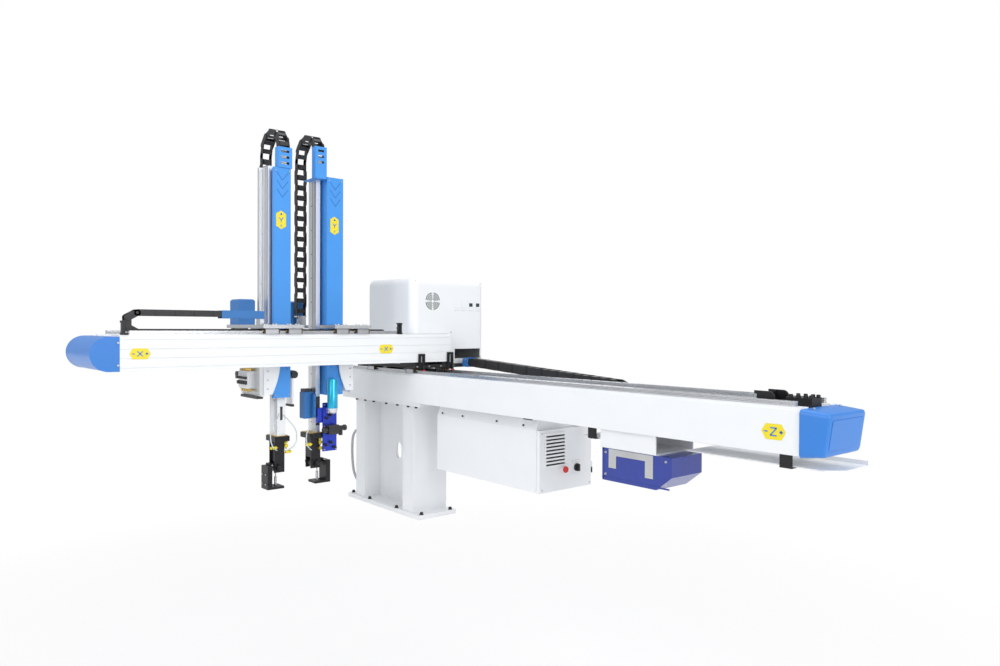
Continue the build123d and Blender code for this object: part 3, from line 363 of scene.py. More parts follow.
NODE_FINISH: dict[str, Finish] = {
    "pedestal": WHITE,
    "traverse_beam": WHITE,
    "traverse_rails": RAIL,
    "traverse_belt": RUBBER,
    "belt_clamps": ANODISED_BLACK,
    "traverse_end_stops": ANODISED_BLACK,
    "beam_end_cover": COVER_BLUE,
    "chain_trough": WHITE,
    "control_cabinet": WHITE,
    "door_hinges": BLACK,
    "cabinet_door": WHITE,
    "stop_button": RED,
    "switch_knob": BLACK_PLASTIC,
    "instrument_hanger": WHITE,
    "generator_clamp": ZINC,
    "static_generator": INDIGO,
    "cable_tray": WHITE,
    "tray_brackets": BLACK,
    "conduit_glands": BLACK_PLASTIC,
    "traverse_carriage_plate": BLACK,
    "traverse_guide_blocks": BLOCK_STEEL,
    "traverse_motor": BLACK,
    "cross_beam": WHITE,
    "cross_rails": CROSS_RAIL,
    "cross_end_stops": ANODISED_BLACK,
    "cross_end_cover": COVER_BLUE,
    "electrical_box": BOX_WHITE,
    "box_gauges": BLACK_PLASTIC,
    "chain_bracket": DEEP_BLUE,
    "rail_scrapers": ANODISED_BLACK,
    "sub_carriage_plate": MILLED,
    "sub_cheek_bracket": WHITE,
    "sub_guide_blocks": BLOCK_STEEL,
    "sub_motor_cover": DEEP_BLUE,
    "sub_inner_profile": SILVER,
    "sub_outer_tube": WHITE,
    "sub_cover": BLUE,
    "sub_chain_bracket": BLUE,
    "sub_wrist": ANODISED_BLACK,
    "sub_gripper_bracket": ANODISED_BLACK,
    "main_carriage_plate": MILLED,
    "main_cheek_bracket": WHITE,
    "main_guide_blocks": BLOCK_STEEL,
    "main_motor_cover": DEEP_BLUE,
    "main_inner_profile": SILVER,
    "main_cover": BLUE,
    "main_outer_profile": SILVER,
    "main_chain_bracket": BLUE,
    "main_wrist": ANODISED_BLACK,
    "main_vacuum_unit": VIOLET,
    "main_gripper_bracket": ANODISED_BLACK,
}


def point(x: float, y: float, z: float) -> Vector:
    """A place given in millimetres, in metres."""
    return Vector((x, y, z)) * MM


def turned(along: Vector, up: Vector) -> Matrix:
    """A rotation whose X lies along one direction and whose Z lies near another.

    Args:
        along: Direction of the new X axis.
        up: Direction near the new Z axis.

    Returns:
        The 4 by 4 rotation.
    """
    a = along.normalized()
    b = up.cross(a).normalized()
    return Matrix((a, b, a.cross(b))).transposed().to_4x4()


class Forge:
    """A mesh under construction, in metres, to which simple machined forms are added."""

    def __init__(self) -> None:
        """Starts an empty mesh."""
        self.mesh = bmesh.new()

    def _add(self, vertices: list[Vector], faces: list[list[int]]) -> list[bmesh.types.BMVert]:
        """Adds vertices and faces and returns the new vertices."""
        made = [self.mesh.verts.new(v) for v in vertices]
        for face in faces:
            self.mesh.faces.new([made[i] for i in face])
        return made

    def prism(self, outline: list[Vector], depth: Vector, chamfer: float = 0.0) -> "Forge":
        """Adds a straight form from an outline, with both end edges chamfered.

        Args:
            outline: Corner points of one end, in order.
            depth: The way to the other end.
            chamfer: Width of the chamfer at both ends.

        Returns:
            This forge.
        """
        count = len(outline)
        middle = sum(outline, Vector()) / count
        way = depth.normalized()
        layers = [(0.0, chamfer), (chamfer, 0.0), (depth.length - chamfer, 0.0), (depth.length, chamfer)]
        if chamfer <= 0:
            layers = [(0.0, 0.0), (depth.length, 0.0)]
        vertices = []
        for rise, inset in layers:
            for p in outline:
                inward = middle - p
                step = inward.normalized() * inset if inward.length > 0 else Vector()
                vertices.append(p + step + way * rise)
        faces = [list(range(count))[::-1], [len(vertices) - count + i for i in range(count)]]
        for layer in range(len(layers) - 1):
            for i in range(count):
                j = (i + 1) % count
                low = layer * count
                faces.append([low + i, low + j, low + count + j, low + count + i])
        self._add(vertices, faces)
        return self

    def block(self, low: Vector, high: Vector, chamfer: float = 0.0) -> "Forge":
        """Adds a box between two corners, with chamfered top and bottom edges."""
        corners = [
            Vector((low.x, low.y, low.z)),
            Vector((high.x, low.y, low.z)),
            Vector((high.x, high.y, low.z)),
            Vector((low.x, high.y, low.z)),
        ]
        return self.prism(corners, Z * (high.z - low.z), chamfer)

    def round(
        self,
        centre: Vector,
        axis: Vector,
        radius: float,
        length: float,
        sides: int = 24,
        chamfer: float = 0.0,
    ) -> "Forge":
        """Adds a cylinder, or a prism of few sides, from its first end's centre."""
        frame_of = turned(axis, Y if abs(axis.normalized().z) > 0.9 else Z)
        outline = []
        for i in range(sides):
            angle = 2 * math.pi * (i + 0.5) / sides
            local = Vector((0, math.cos(angle) * radius, math.sin(angle) * radius))
            outline.append(centre + frame_of @ local)
        return self.prism(outline, axis.normalized() * length, chamfer)

    def lathe(
        self,
        centre: Vector,
        axis: Vector,
        profile: list[tuple[float, float]],
        sides: int = 28,
    ) -> "Forge":
        """Adds a turned form.

        Args:
            centre: Point from which the profile's heights are counted.
            axis: Turning axis.
            profile: Pairs of height along the axis and radius, in metres.
            sides: Facets around.

        Returns:
            This forge.
        """
        frame_of = turned(axis, Y if abs(axis.normalized().z) > 0.9 else Z)
        vertices = []
        for height, radius in profile:
            for i in range(sides):
                angle = 2 * math.pi * i / sides
                local = Vector((height, math.cos(angle) * radius, math.sin(angle) * radius))
                vertices.append(centre + frame_of @ local)
        faces = [list(range(sides))[::-1], [len(vertices) - sides + i for i in range(sides)]]
        for k in range(len(profile) - 1):
            for i in range(sides):
                j = (i + 1) % sides
                low = k * sides
                faces.append([low + i, low + j, low + sides + j, low + sides + i])
        self._add(vertices, faces)
        return self

    def screw(self, seat: Vector, axis: Vector, size: float, washer: bool = False) -> "Forge":
        """Adds a socket head screw that stands on a face, with its hexagon recess.

        Args:
            seat: Point on the face.
            axis: Direction in which the head stands out.
            size: Thread diameter in millimetres.
            washer: Whether it lies on a washer.

        Returns:
            This forge.
        """
        way = axis.normalized()
        unit = size * MM
        if washer:
            self.round(seat, way, unit * 1.05, unit * 0.18, 20, unit * 0.03)
            seat = seat + way * unit * 0.18
        ring = [(0, 0.78), (0.82, 0.78), (0.95, 0.68), (0.95, 0.5), (0.5, 0.45), (0.5, 0.02)]
        return self.lathe(seat, way, [(h * unit, r * unit) for h, r in ring], 18)

    def tube(self, path: list[Vector], radius: float, sides: int = 10) -> "Forge":
        """Adds a bent rod or pipe along points."""
        vertices = []
        for i, p in enumerate(path):
            ahead = path[min(i + 1, len(path) - 1)] - path[max(i - 1, 0)]
            frame_of = turned(ahead, Y if abs(ahead.normalized().z) > 0.9 else Z)
            for k in range(sides):
                angle = 2 * math.pi * k / sides
                vertices.append(
                    p + frame_of @ Vector((0, math.cos(angle) * radius, math.sin(angle) * radius))
                )
        faces = [list(range(sides))[::-1], [len(vertices) - sides + k for k in range(sides)]]
        for i in range(len(path) - 1):
            for k in range(sides):
                j = (k + 1) % sides
                low = i * sides
                faces.append([low + k, low + j, low + sides + j, low + sides + k])
        self._add(vertices, faces)
        return self

    def stamp(self, other: bpy.types.Mesh, place: Matrix) -> "Forge":
        """Adds a copy of a finished mesh at a place."""
        before = len(self.mesh.verts)
        self.mesh.from_mesh(other)
        self.mesh.verts.ensure_lookup_table()
        bmesh.ops.transform(self.mesh, matrix=place, verts=self.mesh.verts[before:])
        return self

    def skin(self, loops: list[list[Vector]]) -> "Forge":
        """Adds a closed form through loops of as many points each."""
        count = len(loops[0])
        faces = [list(range(count))[::-1], [(len(loops) - 1) * count + i for i in range(count)]]
        for k in range(len(loops) - 1):
            for i in range(count):
                j = (i + 1) % count
                low = k * count
                faces.append([low + i, low + j, low + count + j, low + count + i])
        self._add([p for loop in loops for p in loop], faces)
        return self

    def data(self, name: str) -> bpy.types.Mesh:
        """Closes the forge and returns its mesh, shaded smooth between sharp edges."""
        bmesh.ops.recalc_face_normals(self.mesh, faces=self.mesh.faces)
        made = bpy.data.meshes.new(name)
        self.mesh.to_mesh(made)
        self.mesh.free()
        made.shade_smooth()
        made.set_sharp_from_angle(angle=math.radians(32))
        return made

    def piece(self, name: str, body: str, finish: Finish) -> bpy.types.Object:
        """Makes the object, gives it its finish and lets it ride on a body.

        Args:
            name: Name of the piece.
            body: CAD body that carries it.
            finish: Its surface finish.

        Returns:
            The new object.
        """
        made = bpy.data.objects.new(name, self.data(name))
        bpy.context.scene.collection.objects.link(made)
        made.data.materials.append(finish.build())
        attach(made, body)
        LOG.info("piece %s on %s in %s", name, body, finish.name)
        return made


def dress_nodes(nodes: dict[str, bpy.types.Object]) -> None:
    """Gives every carried-over CAD node its finish.

    Args:
        nodes: CAD nodes by name.
    """
    for name, finish in NODE_FINISH.items():
        node = nodes[name]
        node.data.materials.clear()
        node.data.materials.append(finish.build())
        node.data.shade_smooth()
        node.data.set_sharp_from_angle(angle=math.radians(28))
        LOG.info("node %s in %s", name, finish.name)


@dataclass
class Studio:
    """Pale floor, white surroundings, soft lamps and the photograph's camera.

    Attributes:
        floor_z: Height of the floor under the lowered arms.
        eye: Camera place in millimetres.
        yaw: Camera heading in degrees.
        pitch: Camera pitch in degrees.
        roll: Camera roll in degrees.
        focal_pixels: Focal length in pixels of the photograph's width.
    """

    floor_z: float = -0.95
    eye: tuple[float, float, float] = (3874.95, -2518.80, 1076.15)
    yaw: float = 49.44
    pitch: float = -0.50
    roll: float = 0.26
    focal_pixels: float = 755.14

    def build(self) -> None:
        """Makes the camera, the world, the lamps and the floor."""
        self._camera()
        self._world()
        self._lamps()
        self._floor()
        bpy.context.scene.view_settings.view_transform = "Standard"
        LOG.info("studio ready")

    def _camera(self) -> None:
        """Places the camera as the photograph's."""
        yaw, pitch, roll = (math.radians(a) for a in (self.yaw, self.pitch, self.roll))
        ahead = Vector((-math.sin(yaw) * math.cos(pitch), math.cos(yaw) * math.cos(pitch), math.sin(pitch)))
        level = Vector((math.cos(yaw), math.sin(yaw), 0))
        above = level.cross(ahead)
        right = level * math.cos(roll) + above * math.sin(roll)
        up = above * math.cos(roll) - level * math.sin(roll)
        data = bpy.data.cameras.new("photo_camera")
        data.sensor_width = 36.0
        data.lens = self.focal_pixels / PHOTO_WIDTH * data.sensor_width
        data.shift_y = 0.0013
        data.clip_end = 60.0
        eye = bpy.data.objects.new("photo_camera", data)
        eye.matrix_world = Matrix.Translation(point(*self.eye)) @ Matrix(
            (right, up, -ahead)
        ).transposed().to_4x4()
        bpy.context.scene.collection.objects.link(eye)
        bpy.context.scene.camera = eye

    def _world(self) -> None:
        """Plain pale light, and white where the camera or a transmission ray sees it."""
        world = bpy.data.worlds.new("pale_room")
        bpy.context.scene.world = world
        world.use_nodes = True
        tree = world.node_tree
        tree.nodes.clear()
        rays = tree.nodes.new("ShaderNodeLightPath")
        first = tree.nodes.new("ShaderNodeMath")
        first.operation = "MAXIMUM"
        tree.links.new(rays.outputs["Is Camera Ray"], first.inputs[0])
        tree.links.new(rays.outputs["Is Transmission Ray"], first.inputs[1])
        glow = tree.nodes.new("ShaderNodeBackground")
        glow.inputs["Color"].default_value = (0.93, 0.96, 1.0, 1)
        glow.inputs["Strength"].default_value = 0.58
        white = tree.nodes.new("ShaderNodeBackground")
        white.inputs["Color"].default_value = (1, 1, 1, 1)
        white.inputs["Strength"].default_value = 1.0
        mix = tree.nodes.new("ShaderNodeMixShader")
        tree.links.new(first.outputs["Value"], mix.inputs["Fac"])
        tree.links.new(glow.outputs["Background"], mix.inputs[1])
        tree.links.new(white.outputs["Background"], mix.inputs[2])
        out = tree.nodes.new("ShaderNodeOutputWorld")
        tree.links.new(mix.outputs["Shader"], out.inputs["Surface"])

    def _lamps(self) -> None:
        """Large soft boxes in front, to the right and above."""
        self._lamp("front_box", (1.6, -5.2, 3.4), (1.0, -0.3, 0.9), 4.5, 140)
        self._lamp("right_box", (6.2, -0.6, 2.6), (1.0, -0.2, 0.8), 3.6, 130)
        self._lamp("top_box", (1.0, 0.4, 5.2), (1.0, -0.2, 0.8), 4.0, 92)
        self._lamp("back_box", (-3.2, 3.4, 3.0), (0.6, -0.3, 0.9), 3.6, 55)

    def _lamp(
        self,
        name: str,
        place: tuple[float, float, float],
        aim: tuple[float, float, float],
        size: float,
        power: float,
    ) -> None:
        """Adds one square area lamp that looks at a point.

        Args:
            name: Name of the lamp.
            place: Where it stands, in metres.
            aim: Point it faces.
            size: Side of the square.
            power: Power in watts.
        """
        data = bpy.data.lights.new(name, "AREA")
        data.size = size
        data.energy = power
        lamp = bpy.data.objects.new(name, data)
        lamp.location = place
        lamp.rotation_euler = (Vector(aim) - Vector(place)).to_track_quat("-Z", "Y").to_euler()
        bpy.context.scene.collection.objects.link(lamp)

    def _floor(self) -> None:
        """Large pale floor that turns to pure white away from the robot."""
        forge = Forge()
        forge.round(Vector((1.1, -0.5, self.floor_z - 0.02)), Z, 28.0, 0.02, 96)
        floor = bpy.data.objects.new("studio_floor", forge.data("studio_floor"))
        bpy.context.scene.collection.objects.link(floor)
        made = bpy.data.materials.new("pale_floor")
        made.use_nodes = True
        tree = made.node_tree
        shader = tree.nodes["Principled BSDF"]
        shader.inputs["Roughness"].default_value = 0.6
        place = tree.nodes.new("ShaderNodeTexCoord")
        mottle = tree.nodes.new("ShaderNodeTexNoise")
        mottle.inputs["Scale"].default_value = 3.0
        tree.links.new(place.outputs["Object"], mottle.inputs["Vector"])
        tint = tree.nodes.new("ShaderNodeValToRGB")
        tint.color_ramp.elements[0].color = (0.86, 0.86, 0.87, 1)
        tint.color_ramp.elements[1].color = (0.9, 0.9, 0.9, 1)
        tree.links.new(mottle.outputs["Fac"], tint.inputs["Fac"])
        tree.links.new(tint.outputs["Color"], shader.inputs["Base Color"])
        glow = tree.nodes.new("ShaderNodeEmission")
        rays = tree.nodes.new("ShaderNodeLightPath")
        share = tree.nodes.new("ShaderNodeMath")
        share.operation = "MAXIMUM"
        tree.links.new(rays.outputs["Is Camera Ray"], share.inputs[0])
        tree.links.new(rays.outputs["Is Glossy Ray"], share.inputs[1])
        away = tree.nodes.new("ShaderNodeVectorMath")
        away.operation = "LENGTH"
        tree.links.new(place.outputs["Object"], away.inputs[0])
        fade = tree.nodes.new("ShaderNodeMapRange")
        fade.inputs["From Min"].default_value = 2.0
        fade.inputs["From Max"].default_value = 4.5
        fade.inputs["To Min"].default_value = 0.72
        fade.inputs["To Max"].default_value = 1.0
        tree.links.new(away.outputs["Value"], fade.inputs["Value"])
        both = tree.nodes.new("ShaderNodeMath")
        both.operation = "MULTIPLY"
        tree.links.new(share.outputs["Value"], both.inputs[0])
        tree.links.new(fade.outputs["Result"], both.inputs[1])
        mix = tree.nodes.new("ShaderNodeMixShader")
        tree.links.new(both.outputs["Value"], mix.inputs["Fac"])
        tree.links.new(shader.outputs["BSDF"], mix.inputs[1])
        tree.links.new(glow.outputs["Emission"], mix.inputs[2])
        tree.links.new(mix.outputs["Shader"], tree.nodes["Material Output"].inputs["Surface"])
        floor.data.materials.append(made)


@dataclass
class Chain:
    """One size of energy chain: two rows of side plates with snapped-in cross bars.

    Attributes:
        pitch: Distance between pivots in millimetres.
        width: Outer width.
        height: Outer height.
        plate: Thickness of a side plate.
        across: Direction of the pivots.
    """

    pitch: float
    width: float
    height: float
    plate: float
    across: Vector
    links: dict[Kind, bpy.types.Mesh] = field(default_factory=dict)

    def link(self, kind: Kind) -> bpy.types.Mesh:
        """The finished mesh of one link, with its first pivot at the origin and pointing along X.

        Args:
            kind: Whether its side plates lie inside or outside its neighbours'.

        Returns:
            The mesh, made once.
        """
        if kind in self.links:
            return self.links[kind]
        forge = Forge()
        reach = self.height / 2 - 0.4
        inset = self.plate + 0.4 if kind is Kind.INNER else 0.0
        outside = self.width / 2 - inset
        outline = []
        for i in range(9):
            angle = math.pi / 2 + math.pi * i / 8
            outline.append((reach * math.cos(angle), reach * math.sin(angle)))
        for i in range(9):
            angle = -math.pi / 2 + math.pi * i / 8
            outline.append((self.pitch + reach * math.cos(angle), reach * math.sin(angle)))
        for side in (-1, 1):
            near = side * outside
            points = [point(u, near, v) for u, v in outline]
            forge.prism(points, Y * (-side * self.plate * MM), 0.5 * MM)
            hub = point(self.pitch, near + side * 0.1, 0)
            if kind is Kind.OUTER:
                forge.round(hub - Y * (side * 0.6 * MM), Y * side, reach * 0.45 * MM, 0.9 * MM, 16, 0.2 * MM)
                window = point(self.pitch / 2, near - side * 0.3, 0)
                forge.round(window, Y * side, reach * 0.30 * MM, 0.7 * MM, 6, 0.2 * MM)
        bar = self.pitch * 0.42
        for level in (-1, 1):
            z0 = level * reach
            z1 = level * (reach - 3.0)
            low = point((self.pitch - bar) / 2, -outside + 0.6, min(z0, z1))
            high = point((self.pitch + bar) / 2, outside - 0.6, max(z0, z1))
            forge.block(low, high, 0.6 * MM)
            for side in (-1, 1):
                lug = side * (outside - self.plate - 2.2)
                forge.block(
                    point((self.pitch - bar) / 2 + 1.5, lug - 1.6, min(z0, level * (reach - 7))),
                    point((self.pitch + bar) / 2 - 1.5, lug + 1.6, max(z0, level * (reach - 7)) - 0.5),
                    0.4 * MM,
                )
        self.links[kind] = forge.data(f"link_{self.pitch:.0f}_{kind.name.lower()}")
        return self.links[kind]

    def row(self, path: list[Vector], first: Kind = Kind.INNER) -> Forge:
        """A row of links whose pivots lie on a path.

        Args:
            path: Pivot points in metres.
            first: Kind of the first link.

        Returns:
            A forge that holds the row.
        """
        forge = Forge()
        order = [first, Kind.OUTER if first is Kind.INNER else Kind.INNER]
        for i in range(len(path) - 1):
            way = path[i + 1] - path[i]
            up = way.normalized().cross(self.across)
            place = Matrix.Translation(path[i]) @ turned(way, up)
            place = place @ Matrix.Diagonal((way.length / (self.pitch * MM), 1, 1, 1))
            forge.stamp(self.link(order[i % 2]), place)
        return forge

    def bend_radius(self, links: int) -> float:
        """Radius in millimetres of a half turn of so many links."""
        return self.pitch / (2 * math.sin(math.pi / (2 * links)))

    def turn(self, centre: Vector, first: Vector, second: Vector, links: int) -> list[Vector]:
        """Pivot points of a half turn from centre + first to centre - first."""
        radius = self.bend_radius(links) * MM
        return [
            centre + (first * math.cos(math.pi * i / links) + second * math.sin(math.pi * i / links)) * radius
            for i in range(links + 1)
        ]


@dataclass
class TraverseChain:
    """The long chain from the carriage to the trough behind the beam."""

    chain: Chain = field(default_factory=lambda: Chain(57.4, 60.0, 48.0, 3.2, Y))
    y: float = 213.0
    loop_x: float = 1540.0
    bracket_x: float = 440.0
    bracket_z: float = 876.0
    low_z: float = 660.8
    turn_links: int = 4
    left_x: float = -90.0

    def build(self) -> None:
        """Makes the upper row and the loop with its lower row."""
        radius = self.chain.bend_radius(self.turn_links)
        start = point(self.bracket_x, self.y, self.bracket_z)
        end = point(self.loop_x, self.y, self.low_z + 2 * radius)
        count = int((end - start).length / (self.chain.pitch * MM))
        way = (end - start).normalized() * self.chain.pitch * MM
        path = [end - way * (count - i) for i in range(count + 1)]
        upper = self.chain.row(path).piece("traverse_chain_row", "traverse_carriage", CHAIN)
        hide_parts("traverse_chain_upper")
        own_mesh(upper)
        centre = point(self.loop_x, self.y, self.low_z + radius)
        path = self.chain.turn(centre, Z, X, self.turn_links)
        low = point(self.loop_x, self.y, self.low_z)
        count = int((self.loop_x - self.left_x) / self.chain.pitch)
        path += [low - X * self.chain.pitch * MM * (i + 1) for i in range(count)]
        loop = self.chain.row(path, Kind.OUTER).piece("traverse_chain_turn", "traverse_chain_loop", CHAIN)
        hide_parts("traverse_chain_loop")


@dataclass
class CrossChain:
    """The crosswise chain that lies between the rails of the crosswise beam."""

    chain: Chain = field(default_factory=lambda: Chain(43.0, 46.0, 30.0, 3.0, X))
    x: float = 308.0
    loop_y: float = -1575.0
    bracket_y: float = -1058.0
    low_z: float = 1049.5
    end_y: float = -300.0
    turn_links: int = 3

    def build(self) -> None:
        """Makes the upper row and the loop with its lower row."""
        radius = self.chain.bend_radius(self.turn_links)
        top = self.low_z + 2 * radius
        step = self.chain.pitch * MM
        count = int((self.bracket_y - self.loop_y) / self.chain.pitch)
        end = point(self.x, self.loop_y, top)
        path = [end + Y * step * (count - i) for i in range(count + 1)]
        upper = self.chain.row(path).piece("cross_chain_row", "sub_carriage", CHAIN)
        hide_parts("cross_chain_upper")
        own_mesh(upper)
        centre = point(self.x, self.loop_y, self.low_z + radius)
        path = self.chain.turn(centre, Z, -Y, self.turn_links)
        low = point(self.x, self.loop_y, self.low_z)
        count = int((self.end_y - self.loop_y) / self.chain.pitch)
        path += [low + Y * step * (i + 1) for i in range(count)]
        holder = Forge()
        for x0 in (281.0, 332.0):
            holder.block(point(x0, -1206, 1117), point(x0 + 3, -1000, 1152), 0.5 * MM)
        holder.block(point(281, -1206, 1114), point(335, -1000, 1117), 0.5 * MM)
        holder.piece("cross_chain_holder", "sub_carriage", DEEP_BLUE)
        loop = self.chain.row(path, Kind.OUTER).piece("cross_chain_turn", "cross_chain_loop", CHAIN)
        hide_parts("cross_chain_loop")


@dataclass
class ArmChain:
    """The upright chain of one arm: standing leg, loop and the leg that hangs into the second stage."""

    arm: str
    y: float
    chain: Chain = field(default_factory=lambda: Chain(57.0, 60.0, 32.0, 3.2, Y))
    x: float = 170.0
    foot_z: float = 1137.0
    top_z: float = 1992.0
    floor_z: float = 1900.0
    turn_links: int = 6
    stroke: float = 550.0
    steps: int = 200

    def build(self) -> None:
        """Makes the three parts of the chain."""
        radius = self.chain.bend_radius(self.turn_links)
        standing_x = self.x - 2 * radius
        count = int((self.top_z - self.foot_z) / self.chain.pitch)
        path = [point(standing_x, self.y, self.foot_z + self.chain.pitch * i) for i in range(count + 1)]
        leg = self.chain.row(path).piece(f"{self.arm}_chain_leg", f"{self.arm}_carriage", CHAIN)
        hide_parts(f"{self.arm}_chain_fixed_leg")
        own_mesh(leg)
        centre = point(self.x - radius, self.y, self.top_z)
        path = self.chain.turn(centre, X, Z, self.turn_links)
        loop = self.chain.row(path, Kind.OUTER).piece(f"{self.arm}_chain_turn", f"{self.arm}_stage1", CHAIN)
        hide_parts(f"{self.arm}_chain_loop")
        self._hanging_leg()

    def _hanging_leg(self) -> None:
        """Makes the leg that is paid out, packed at rest in the second stage's open bracket."""
        rest = self.top_z - self.floor_z
        full = rest + self.stroke
        count = round(full / self.chain.pitch)
        path = [point(self.x, self.y, self.top_z - full * i / count) for i in range(count + 1)]
        forge = self.chain.row(path, Kind.INNER)
        for vertex in forge.mesh.verts:
            depth = (self.top_z * MM - vertex.co.z) / MM
            vertex.co.z = (self.top_z - self._packed(depth, rest)) * MM
        made = bpy.data.objects.new(f"{self.arm}_chain_hanging_leg", forge.data(f"{self.arm}_hanging_leg"))
        bpy.context.scene.collection.objects.link(made)
        made.data.materials.append(CHAIN.build())
        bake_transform(made)
        LOG.info("piece %s", made.name)

    def _packed(self, depth: float, rest: float) -> float:
        """Depth at rest of a point that hangs at a depth when the leg is fully out.

        Args:
            depth: Depth under the top with the arm fully down, in millimetres.
            rest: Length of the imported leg.

        Returns:
            The depth at rest.
        """
        low, high = 0.0, 1.0
        if depth <= 0:
            return max(depth, -2.0)
        for _ in range(24):
            middle = (low + high) / 2
            reach = rest * middle + self.stroke * middle * middle * (3 - 2 * middle)
            low, high = (middle, high) if reach < depth else (low, middle)
        return rest * (low + high) / 2


@dataclass
class Hose:
    """A hose or air tube that leaves a body and returns to it in a smooth loop.

    Attributes:
        name: Name of the piece.
        body: Body that carries it.
        points: Corners of its path in millimetres.
        diameter: Outer diameter in millimetres.
        finish: Its surface finish.
        node: CAD node that it stands for, if there is one.
    """

    name: str
    body: str
    points: tuple[tuple[float, float, float], ...]
    diameter: float
    finish: Finish
    node: str = ""

    def build(self) -> None:
        curve = bpy.data.curves.new(self.name, "CURVE")
        curve.dimensions = "3D"
        curve.bevel_depth = self.diameter / 2 * MM
        curve.bevel_resolution = 5
        curve.resolution_u = 24
        curve.use_fill_caps = True
        spline = curve.splines.new("NURBS")
        spline.points.add(len(self.points) - 1)
        for place, corner in zip(spline.points, self.points):
            place.co = (*point(*corner), 1)
        spline.order_u = 3
        spline.use_endpoint_u = True
        hose = bpy.data.objects.new(self.name, curve)
        bpy.context.scene.collection.objects.link(hose)
        curve.materials.append(self.finish.build())
        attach(hose, self.body)
        if self.node:
            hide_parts(self.node)


def hoses() -> None:
    """Makes the pedestal's wiring hose and the air tubes at both wrists."""
    side = ((-340, -60, 430), (-448, -64, 424), (-476, -60, 255), (-444, -56, 90), (-340, -60, 78))
    Hose("pedestal_hose", "base", side, 16.0, HOSE, "pedestal_conduit").build()
    for name, arm, path in (
        (
            "sub_tube_left",
            "sub",
            ((151, -840, 622), (172, -858, 600), (176, -902, 540), (176, -890, 450), (129, -838, 428)),
        ),
        (
            "sub_tube_right",
            "sub",
            ((151, -815, 616), (174, -800, 590), (182, -752, 530), (178, -762, 440), (137, -806, 424)),
        ),
        (
            "main_tube_left",
            "main",
            ((141, -622, 566), (160, -640, 560), (170, -700, 520), (168, -690, 430), (129, -642, 412)),
        ),
    ):
        Hose(name, f"{arm}_stage2", path, 6.0, AIR_TUBE).build()


def screw_row(forge: Forge, first: Vector, last: Vector, count: int, axis: Vector, size: float) -> Forge:
    """Adds a straight row of socket screws.

    Args:
        forge: Mesh to add to.
        first: Seat of the first screw.
        last: Seat of the last one.
        count: Number of screws.
        axis: Direction of the heads.
        size: Thread diameter in millimetres.

    Returns:
        The forge.
    """
    for i in range(count):
        forge.screw(first + (last - first) * (i / max(count - 1, 1)), axis, size)
    return forge


def guide_block(steel: Forge, seals: Forge, felt: Forge, centre: Vector, along: Vector, up: Vector) -> None:
    """Adds one carriage of a profile rail: its body, end seals and wiper strips.

    Args:
        steel: Mesh of the bodies.
        seals: Mesh of the end seals.
        felt: Mesh of the wiper strips.
        centre: Middle of the rail's foot under the carriage.
        along: Direction of the rail.
        up: Direction away from the rail's seat.
    """
    place = turned(along, up)
    outline = [
        (-22, 4.6),
        (-22, 24),
        (-17, 30),
        (17, 30),
        (22, 24),
        (22, 4.6),
        (11, 4.6),
        (11, 18.6),
        (-11, 18.6),
        (-11, 4.6),
    ]
    for forge, start, length, grow in (
        (steel, -33.0, 66.0, 0.0),
        (seals, -38.6, 5.6, -0.6),
        (seals, 33.0, 5.6, -0.6),
        (felt, -33.6, 1.4, 0.25),
        (felt, 32.2, 1.4, 0.25),
    ):
        points = []
        for u, v in outline:
            side = (1 if u > 0 else -1) * (grow if abs(u) > 12 else 0)
            points.append(centre + place @ (Vector((start, u + side, v + (grow if v > 20 else 0))) * MM))
        forge.prism(points, along.normalized() * length * MM)


def profile_rail(forge: Forge, start: Vector, along: Vector, up: Vector, length: float) -> None:
    """Adds a waisted rail."""
    place = turned(along, up)
    half = [(10, 0), (10, 5.5), (7.2, 8), (7.2, 11), (10, 13.5), (10, 18)]
    outline = half + [(-u, v) for u, v in half[::-1]]
    points = [start + place @ (Vector((0, u, v)) * MM) for u, v in outline]
    forge.prism(points, along.normalized() * length * MM)


